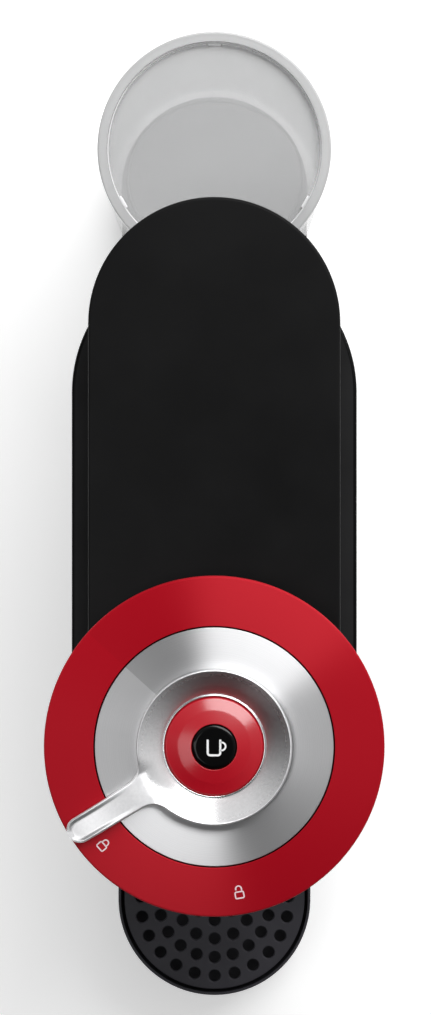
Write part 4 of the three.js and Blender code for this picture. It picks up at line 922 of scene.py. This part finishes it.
def make_arm_shell():
    """The long black arm: one skin, round ends, a soft edge on top, rising underside at the rear."""
    outside = pill(HEAD[1], ARM_REAR_Y, slab(ARM_R, ARM_LOW, ARM_TOP, 0.4, 1.3), steps=6)
    inside = pill(HEAD[1], ARM_REAR_Y, slab(ARM_R - WALL, ARM_LOW - 1, ARM_TOP - WALL), 96)
    cavity = combined(inside, [under_tail(WALL + TAIL_CLEAR)])
    rib_in = low("hinge_pin").x + 5
    lug_slot = box_bm(rib_in, -rib_in, HINGE_Y - 10, HINGE_Y + 18, ARM_LOW - 1, ARM_TOP - WALL - 3)
    notch = box_bm(-35, -27, HINGE_Y - 11, HINGE_Y + 6, ARM_LOW - 1, HINGE_Z - 2)
    head_hole = drum_bm(*HEAD, ARM_TOP - WALL - 1, ARM_TOP + 1, 40, segments=96)
    shell = combined(outside, [under_tail(TAIL_CLEAR), cavity, lug_slot, notch, head_hole])
    ribs = []
    for side in (-1, 1):
        x0, x1 = sorted((side * -rib_in, side * (-rib_in + 4)))
        ribs.append(rod_bm(x0, x1, HINGE_Y, HINGE_Z, 6))
        ribs.append(box_bm(x0, x1, HINGE_Y - 6, HINGE_Y + 6, HINGE_Z, ARM_TOP - WALL + 0.5))
    finish_mesh("arm_shell_fine", merged(shell, *ribs), ARM_BLACK, "arm", ["arm_shell"], 25)


def make_arm_cover():
    z0, z1 = ARM_LOW, ARM_LOW + WALL
    plate = pill(HEAD[1], ARM_REAR_Y, slab(ARM_R - WALL - 0.3, z0, z1, 0.4), 144)
    hole = drum_bm(*HEAD, z0 - 1, z1 + 1, 35.9, segments=96)
    rear = box_bm(-60, 60, HINGE_Y - 11, TAIL_END_Y, z0 - 1, z1 + 1)
    bm = combined(plate, [hole, rear])
    finish_mesh("arm_cover_fine", bm, DARK_INSIDE, "arm", ["arm_bottom_cover"], 25)


# ---- brew housing, deck and column --------------------
def make_deck():
    """The deck with its rounded dark rim, chamber mouth, capsule slot and hinge lugs."""
    plate = pill(HEAD[1], REAR_Y, slab(HOUSING_R, DECK_LOW, DECK_TOP, 0.3, 2.6), steps=8)
    chute_x = high("capsule_chute").x - THIN_WALL
    chute_y = high("capsule_chute").y - THIN_WALL
    over = DECK_TOP + 1
    under = DECK_LOW - 1
    flare = CHAMBER_R + 1.6
    corners = [(0, under), (CHAMBER_R, under), (CHAMBER_R, over - 1.6), (flare, over), (0, over)]
    mouth = turned(corners, segments=96)
    slot = box_bm(-chute_x, chute_x, HEAD[1], chute_y, DECK_LOW - 1, DECK_TOP + 1)
    hose_hole = drum_bm(-31, HINGE_Y - 6, DECK_LOW - 1, DECK_TOP + 1, 4.5)
    deck = combined(plate, [mouth, slot, hose_hole])
    lugs = []
    for side in (-1, 1):
        x0, x1 = sorted((side * 10, side * 15))
        lugs.append(rod_bm(x0, x1, HINGE_Y, HINGE_Z, 6))
        lugs.append(box_bm(x0, x1, HINGE_Y - 6, HINGE_Y + 6, DECK_LOW + 1, HINGE_Z, 0.4))
    bm = merged(deck, *lugs)
    piece = finish_mesh("deck_fine", bm, [DECK_GREY, EDGE_BLACK], "machine", ["deck_plate"], 25)
    for face in piece.data.polygons:
        middle = face.center / MM
        beyond = max(HEAD[1] - middle.y, middle.y - REAR_Y, 0.0)
        if math.hypot(middle.x, beyond) > HOUSING_R - 2.4:
            face.material_index = 1


def make_brew_housing():
    top = high("brew_housing").z
    corners = [
        (HOUSING_R, HOUSING_LOW, 3.5), (HOUSING_R, top, 0.5), (HOUSING_R - WALL, top),
        (HOUSING_R - WALL, HOUSING_LOW + WALL, 1.5), (20, HOUSING_LOW + WALL),
        (20, HOUSING_LOW),
    ]
    shell = pill(HEAD[1], REAR_Y, corners, steps=8)
    floor = pill(HEAD[1], REAR_Y, slab(22, HOUSING_LOW, HOUSING_LOW + WALL), 96)
    passage = pill(COLUMN_FRONT_Y, REAR_Y, slab(COLUMN_R - 3.5, HOUSING_LOW - 1, top - 60), 96)
    spout_r = high("coffee_spout").x + 0.3
    spout = drum_bm(0, mid("coffee_spout", "y"), HOUSING_LOW - 1, HOUSING_LOW + WALL + 1, spout_r)
    bm = combined(combined(shell, [floor], "UNION"), [passage, spout])
    finish_mesh("brew_housing_fine", bm, BODY_BLACK, "machine", ["brew_housing"], 25)


def make_column():
    """The column with its doorway, inner shelf and the two ports in its rear."""
    top = high("column_housing").z
    inner = COLUMN_R - WALL
    corners = [(COLUMN_R, COLUMN_LOW, 0.6), (COLUMN_R, top, 0.3), (inner, top), (inner, COLUMN_LOW)]
    wall = pill(COLUMN_FRONT_Y, REAR_Y, corners)
    side = high("capsule_container").x + 0.6
    shelf_top = low("capsule_container").z - 0.3
    doorway = box_bm(-side, side, -200, COLUMN_FRONT_Y, shelf_top, high("capsule_container").z + 0.6)
    port = barrel_bm(0, REAR_Y, TANK_Y, mid("tank_socket", "z"), high("tank_socket").x + 0.3)
    cord = barrel_bm(mid("cord_grommet", "x"), REAR_Y, TANK_Y, mid("cord_grommet", "z"), 6.3)
    shell = combined(wall, [doorway, port, cord])
    shelf = pill(COLUMN_FRONT_Y, REAR_Y, slab(COLUMN_R - 1, shelf_top - 3, shelf_top), 96)
    shelf = combined(shelf, [box_bm(-80, 80, 12, 200, 0, 100)])
    finish_mesh("column_fine", merged(shell, shelf), BODY_BLACK, "machine", ["column_housing"], 25)


def make_base():
    """The low base: tongue under the tray, footing of the column, platform of the tank."""
    z0 = low("base_plate").z
    tongue_r = TRAY_R - 2.3
    tongue_top = TRAY_LOW - 0.3
    footing_top = COLUMN_LOW - 0.3
    platform_top = high("base_plate").z
    platform_r = high("base_plate").y - TANK_Y

    def footprint(inset, bottom, tongue, footing, platform, edge):
        shapes = [
            (pill_outline(TRAY_Y, COLUMN_FRONT_Y, 144), tongue_r, tongue),
            (pill_outline(COLUMN_FRONT_Y, REAR_Y, 144), COLUMN_R, footing),
            (pill_outline(REAR_Y, TANK_Y, 144), platform_r, footing),
            (circle_outline((0, TANK_Y), 144), platform_r, platform),
        ]
        return [swept(outline, slab(r - inset, bottom, top, edge, edge)) for outline, r, top in shapes]

    first, *others = footprint(0, z0, tongue_top, footing_top, platform_top, 0.6)
    outside = combined(first, others, "UNION")
    skin = 2.5
    hollow = footprint(skin, z0 - 1, tongue_top - skin, footing_top - skin, platform_top - skin, 0)
    shell = combined(outside, hollow)
    finish_mesh("base_fine", shell, BODY_BLACK, "machine", ["base_plate"], 25)


def make_feet():
    names = ["foot_front_left", "foot_front_right", "foot_rear_left", "foot_rear_right"]
    for name in names:
        lo, hi = low(name), high(name)
        centre = ((lo.x + hi.x) / 2, (lo.y + hi.y) / 2)
        radius = (hi.x - lo.x) / 2
        corners = [
            (0, lo.z + 0.5), (radius - 3, lo.z + 0.5, 0.3), (radius - 2.2, lo.z, 0.4),
            (radius, lo.z, 0.9), (radius, hi.z, 0.3), (0, hi.z),
        ]
        bm = turned(corners, centre, 48)
        finish_mesh(name + "_fine", bm, RUBBER, "machine", [name])


# ---- drip tray, grid and container --------------------

def behind_tray(extra, z0, z1):
    """What the tray's outline gives way to: the column's round front, and all behind it."""
    column = drum_bm(0, COLUMN_FRONT_Y, z0, z1, COLUMN_CLEAR + extra, segments=192)
    rear = box_bm(-100, 100, COLUMN_FRONT_Y - 20, 100, z0, z1)
    return [column, rear]


def make_tray():
    outside = pill(TRAY_Y, COLUMN_FRONT_Y, slab(TRAY_R, TRAY_LOW, TRAY_TOP, 2.5, 0.5), steps=6)
    outside = combined(outside, behind_tray(0, TRAY_LOW - 1, TRAY_TOP + 1))
    inner_r = TRAY_R - THIN_WALL + 0.8
    inside = pill(TRAY_Y, COLUMN_FRONT_Y, slab(inner_r, TRAY_LOW + 2, TRAY_TOP + 1, 3))
    inside = combined(inside, behind_tray(THIN_WALL, TRAY_LOW, TRAY_TOP + 2))
    tray = combined(outside, [inside])
    post = slab(3, TRAY_LOW + 1, GRID_LOW - 0.3, 0, 0.5)
    posts = [turned(post, (x, TRAY_Y + y), 24) for x, y in ((-30, 8), (30, 8), (-32, 70), (32, 70))]
    finish_mesh("drip_tray_fine", merged(tray, *posts), TRAY_BLACK, "tray", ["drip_tray"], 25)


def grid_holes():
    holes = [(0.0, GRID_CENTRE_Y)]
    for ring, count in enumerate(GRID_COUNTS, start=1):
        for i in range(count):
            a = -math.pi / 2 + 2 * math.pi * i / count
            reach = GRID_PITCH * ring
            holes.append((reach * math.cos(a), GRID_CENTRE_Y + reach * math.sin(a)))
    return holes


def make_grid():
    """The cup stand: a satin plate with a rolled edge and round countersunk holes."""
    plate = pill(TRAY_Y, COLUMN_FRONT_Y, slab(GRID_R, GRID_LOW, GRID_TOP, 0.3, 0.6))
    cutters = behind_tray(TRAY_R - GRID_R, GRID_LOW - 1, GRID_TOP + 1)
    over = GRID_TOP + 0.05
    corners = [
        (0, GRID_LOW - 1), (GRID_HOLE_R, GRID_LOW - 1), (GRID_HOLE_R, GRID_TOP - 0.45),
        (GRID_HOLE_R + 0.5, over), (0, over),
    ]
    holes = [turned(corners, place, 24) for place in grid_holes()]
    bm = combined(plate, [*cutters, merged(*holes)])
    finish_mesh("cup_grid_fine", bm, TRAY_BLACK, "grid", ["cup_grid"], 25)


def make_container():
    """The used-capsule container: its round front is the column's face, with a finger recess."""
    lo, hi = low("capsule_container"), high("capsule_container")

    def body(inset, z0, z1, edge):
        round_front = pill(COLUMN_FRONT_Y, REAR_Y, slab(COLUMN_R - inset, z0, z1, edge, edge))
        block = box_bm(lo.x + inset, hi.x - inset, -200, hi.y - inset, z0 - 1, z1 + 1)
        return combined(round_front, [block], "INTERSECT")

    recess = barrel_bm(0, lo.y - 5, lo.y + 1.2, hi.z - 12, 14)
    bm = combined(body(0, lo.z, hi.z, 0.5), [body(THIN_WALL, lo.z + THIN_WALL, hi.z + 2, 0), recess])
    finish_mesh("container_fine", bm, BODY_BLACK, "container", ["capsule_container"], 25)


# ---- brewing parts seen when the arm is open --------------------
def make_holder():
    z0, z1 = low("capsule_holder").z, high("capsule_holder").z
    corners = [
        (0, z0), (24, z0, 2), (32, z1 - 9, 2), (35, z1 - 4, 0.8), (35, z1, 0.5), (31, z1, 0.4),
        (31, z1 - 1.5, 0.3), (28.5, z1 - 1.5, 0.5), (22, z0 + 6, 3), (12, z0 + 3, 3),
        (0, z0 + 3),
    ]
    bm = turned(corners)
    finish_mesh("capsule_holder_fine", bm, STEEL_SPUN, "holder", ["capsule_holder"])


def make_collector():
    lo, hi = low("coffee_collector"), high("coffee_collector")
    corners = [
        (12, lo.z, 0.5), (hi.x, lo.z, 2), (hi.x, hi.z, 0.5), (hi.x - 2, hi.z, 0.5),
        (hi.x - 2, lo.z + 2, 1.5), (12, lo.z + 2, 0.5),
    ]
    outlet = drum_bm(0, mid("coffee_spout", "y"), lo.z - 1, lo.z + 3, 4.5)
    bm = combined(turned(corners), [outlet])
    finish_mesh("collector_fine", bm, DARK_INSIDE, "machine", ["coffee_collector"])


def make_spout():
    lo, hi = low("coffee_spout"), high("coffee_spout")
    centre = (0, (lo.y + hi.y) / 2)
    corners = [
        (4.5, hi.z), (hi.x, hi.z, 0.4), (hi.x, lo.z + 5, 1.5), (hi.x - 1.5, lo.z, 0.6),
        (3.5, lo.z, 0.4), (4.5, lo.z + 5, 1),
    ]
    bm = turned(corners, centre, 64)
    finish_mesh("spout_fine", bm, GLOSS_BLACK, "machine", ["coffee_spout"])


def make_collar():
    lo, hi = low("latch_collar"), high("latch_collar")
    corners = [(37, lo.z, 0.5), (hi.x, lo.z, 0.5), (hi.x, hi.z, 0.5), (37, hi.z, 0.8)]
    finish_mesh("latch_collar_fine", turned(corners), STEEL_SPUN, "machine", ["latch_collar"])


def make_rotor():
    z0, z1 = low("piercing_rotor").z, high("piercing_rotor").z
    corners = [
        (0, z0), (1.2, z0 + 2, 0.3), (1.2, z0 + 7.5, 0.3), (26, z0 + 7.5), (26, z0 + 9),
        (30.5, z0 + 9), (30.5, z0 + 11.2, 0.5), (20, z0 + 11.2, 2), (12, z0 + 15, 2),
        (8, z0 + 18.4, 1), (8, z1), (0, z1),
    ]
    bm = turned(corners)
    finish_mesh("piercing_rotor_fine", bm, STEEL_SPUN, "rotor", ["piercing_rotor"])
    seal_z = low("head_seal").z
    seal_top = seal_z + 1.9
    seal = [(26.3, seal_z, 0.8), (30.5, seal_z, 0.8), (30.5, seal_top, 0.3), (26.3, seal_top, 0.3)]
    finish_mesh("head_seal_fine", turned(seal), SILICONE, "rotor", ["head_seal"])


# ---- rear ports --------------------
def along_y(bm, x, z):
    """Lays a piece turned about Z down along +Y, through (x, z)."""
    turn = Matrix.Translation((x, 0, z)) @ Matrix.Rotation(-math.pi / 2, 4, "X")
    bmesh.ops.transform(bm, matrix=turn, verts=bm.verts)
    return bm


def make_rear_ports():
    lo, hi = low("tank_socket"), high("tank_socket")
    front = lo.y + 5
    corners = [
        (0, lo.y), (4, lo.y, 0.4), (4, front, 0.4), (hi.x, front, 0.5), (hi.x, hi.y, 0.4),
        (6.6, hi.y, 0.6), (6.6, front + 3, 0.4), (1.4, front + 3, 0.4),
        (1.4, front + 18.7, 0.5), (0, front + 18.7),
    ]
    bm = along_y(turned(corners, (0, 0), 64), 0, mid("tank_socket", "z"))
    finish_mesh("tank_socket_fine", bm, WHITE_PLASTIC, "machine", ["tank_socket"])
    lo, hi = low("cord_grommet"), high("cord_grommet")
    corners = [
        (3.6, lo.y, 0.3), (6, lo.y, 0.5), (6, hi.y - 2.3, 0.3), (8, hi.y - 2.3, 0.5),
        (8, hi.y, 1.0), (3.6, hi.y, 0.8),
    ]
    bm = along_y(turned(corners, (0, 0), 48), mid("cord_grommet", "x"), mid("cord_grommet", "z"))
    finish_mesh("cord_grommet_fine", bm, RUBBER, "machine", ["cord_grommet"])


# ---- tank --------------------
def tank_bm(inset, z0, z1, edge=0.0):
    """The tank's round shape with its hollow front, shrunk by an inset."""
    drum = turned(slab(TANK_R - inset, z0, z1, edge, edge), (0, TANK_Y), 192)
    nest = drum_bm(0, REAR_Y, z0 - 1, z1 + 1, NEST_R + inset, segments=192)
    return combined(drum, [nest])


def make_tank():
    port_z = mid("tank_socket", "z")
    front_wall = REAR_Y + NEST_R
    nozzle_y = low("tank_vessel").y
    water = tank_bm(0.6 + THIN_WALL, TANK_LOW + 2.6, TANK_TOP + 2)
    shell = combined(tank_bm(0.6, TANK_LOW, TANK_TOP, 0.8), [water])
    nozzle = barrel_bm(0, nozzle_y, front_wall + THIN_WALL, port_z, 6)
    bore = barrel_bm(0, nozzle_y - 1, front_wall + 5, port_z, 4.2)
    vessel = combined(combined(shell, [nozzle], "UNION"), [bore])
    finish_mesh("tank_vessel_fine", vessel, CLEAR, "tank", ["tank_vessel"], 25)


def make_tank_lid():
    """Thick clear rim standing round a recessed plate, with a skirt under it."""
    plate_top = TANK_TOP + 2.5
    rim_in = 4.0
    rim = combined(tank_bm(0, TANK_TOP + 0.3, LID_TOP, 0.9), [tank_bm(rim_in, plate_top, LID_TOP + 2)])
    skirt_hollow = tank_bm(4.7, TANK_TOP - 8, TANK_TOP + 0.4)
    skirt = combined(tank_bm(3.2, TANK_TOP - 6, TANK_TOP + 1), [skirt_hollow])
    materials = [CLEAR, CLEAR_RIM, CLEAR_PAINTED_LIGHT]
    piece = finish_mesh("tank_lid_fine", merged(rim, skirt), materials, "lid", ["tank_lid"], 25)
    for face in piece.data.polygons:
        middle = face.center / MM
        far = math.hypot(middle.x, middle.y - TANK_Y) > TANK_R - rim_in - 0.6
        near_nest = math.hypot(middle.x, middle.y - REAR_Y) < NEST_R + rim_in + 0.6
        upright = abs(face.normal.z) < 0.5
        outer_wall = math.hypot(middle.x, middle.y - TANK_Y) > TANK_R - 1
        if middle.z > TANK_TOP and (far or near_nest):
            # Index 2, the paler clear copy, is painted light on the rim's upright inner wall.
            face.material_index = 1 if outer_wall or not upright else 2


def make_lid_trim():
    """A white ring just inside the lid's rim, a painted highlight for the bright line at the rim's inner
    edge, and the three catches on it.
    """
    z = TANK_TOP + 2.5
    line_r = TANK_R - 4.1
    line_in = line_r - 0.45
    corners = [(line_in, z, 0.1), (line_in, z + 0.4, 0.1), (line_r, z + 0.4, 0.1), (line_r, z, 0.1)]
    ring = turned(corners, (0, TANK_Y), 192)
    nest = drum_bm(0, REAR_Y, z - 1, z + 3, NEST_R + 4.4, segments=192)
    # The ring is a painted highlight: white where the rim's inner edge shows a bright line.
    finish_mesh("lid_highlight_line", combined(ring, [nest]), WHITE_TRIM_AND_HIGHLIGHT, "lid")
    for index, azimuth in enumerate((90, 210, 330)):
        a = math.radians(azimuth)
        catch = box_bm(-0.6, 0.6, -2.8, 2.8, z, z + 0.6, 0.25)
        reach = TANK_R - 4.9
        place = Matrix.Translation((reach * math.cos(a), TANK_Y + reach * math.sin(a), 0))
        bmesh.ops.transform(catch, matrix=place @ Matrix.Rotation(a, 4, "Z"), verts=catch.verts)
        finish_mesh(f"lid_catch_{index + 1}", catch, WHITE_TRIM_AND_HIGHLIGHT, "lid")


def make_tank_floor():
    lo, hi = low("tank_floor_plate"), high("tank_floor_plate")
    half = (hi.x - lo.x) / 2
    depth = (hi.y - lo.y) / 2
    centre_y = (lo.y + hi.y) / 2
    corners = [
        (0, lo.z), (half, lo.z, 0.3), (half, hi.z, 0.5), (half - 1.2, hi.z, 0.2),
        (half - 1.6, hi.z - 0.4, 0.2), (half - 2.2, hi.z - 0.1, 0.2), (0, hi.z - 0.1),
    ]
    bm = turned(corners, (0, 0))
    bmesh.ops.transform(
        bm,
        matrix=Matrix.Translation((0, centre_y, 0)) @ Matrix.Diagonal((1, depth / half, 1, 1)),
        verts=bm.verts,
    )
    piece = finish_mesh("tank_floor_fine", bm, [FLOOR_GREY, FLOOR_EDGE], "tank", ["tank_floor_plate"])
    for face in piece.data.polygons:
        middle = face.center / MM
        if math.hypot(middle.x, (middle.y - centre_y) * half / depth) > half - 1.0:
            face.material_index = 1


MAKERS = [
    make_red_ring, make_silver_dial, make_head_carrier, make_centre_cap, make_cap_bezel, make_button,
    make_lever, make_locking_ring, make_lock_signs, make_cup_sign,
    make_arm_shell, make_arm_cover, make_deck, make_brew_housing, make_column, make_base, make_feet,
    make_tray, make_grid, make_container,
    make_holder, make_collector, make_spout, make_collar, make_rotor, make_rear_ports,
    make_tank, make_tank_lid, make_lid_trim, make_tank_floor,
]
for make_piece in MAKERS:
    make_piece()


# ---- stage, light and camera --------------------
def make_floor():
    bm = bmesh.new()
    bmesh.ops.create_grid(bm, x_segments=1, y_segments=1, size=FLOOR_REACH)
    glow = {"Emission_Color": (1, 1, 1, 1), "Emission_Strength": 0.35}
    shader = Shader("floor_pale", (0.93, 0.93, 0.93), 0.8, **glow)
    shader.roughness(shader.span(shader.noise(3, 2), 0.75, 0.85))
    floor = finish_mesh("floor", bm, shader.material, None)


def area_light(name, azimuth, zenith, distance, size, power):
    """A soft panel aimed at the head. Azimuth and zenith in degrees, distance and size in metres."""
    a, z = math.radians(azimuth), math.radians(zenith)
    target = Vector((0, 0, 0.15))
    away = Vector((math.sin(z) * math.cos(a), math.sin(z) * math.sin(a), math.cos(z)))
    data = bpy.data.lights.new(name, "AREA")
    data.shape = "RECTANGLE"
    data.size, data.size_y = size
    data.energy = power
    light = bpy.data.objects.new(name, data)
    light.location = target + away * distance
    light.rotation_euler = away.to_track_quat("Z", "Y").to_euler()
    bpy.context.collection.objects.link(light)


def make_world():
    """A studio with one white wall, a dark wall opposite and a dim ceiling."""
    world = bpy.data.worlds.new("room")
    world.use_nodes = True
    room = Nodes(world.node_tree)
    direction = room.node("ShaderNodeTexCoord").outputs["Generated"]
    towards = room.node("ShaderNodeVectorMath", operation="DOT_PRODUCT")
    a = math.radians(BRIGHT_SIDE)
    towards.inputs[1].default_value = (math.cos(a), math.sin(a), 0)
    room.link(direction, towards.inputs[0])
    glow = room.ramp(room.span(towards.outputs["Value"], 0, 1, -1, 1), WALL_GLOW)
    height = room.parts(direction)[2]
    background = room.tree.nodes["Background"]
    room.link(glow, background.inputs["Color"])
    room.link(room.math("MULTIPLY_ADD", height, -CEILING_LOSS, 1), background.inputs["Strength"])
    bpy.context.scene.world = world


def make_camera():
    """Straight above the machine, at the photograph's distance and angle of view."""
    data = bpy.data.cameras.new("camera")
    data.sensor_fit = "AUTO"
    data.sensor_width = 36
    data.lens = CAMERA_LENS
    camera = bpy.data.objects.new("camera", data)
    camera.location = CAMERA_PLACE
    bpy.context.collection.objects.link(camera)
    bpy.context.scene.camera = camera


make_floor()
make_world()
area_light("key", BRIGHT_SIDE - 3, 40, 1.6, (1.4, 0.7), 24)
area_light("fill", 201, 22, 1.8, (0.9, 0.9), 5)
make_camera()

bpy.context.scene.view_settings.view_transform = "Standard"
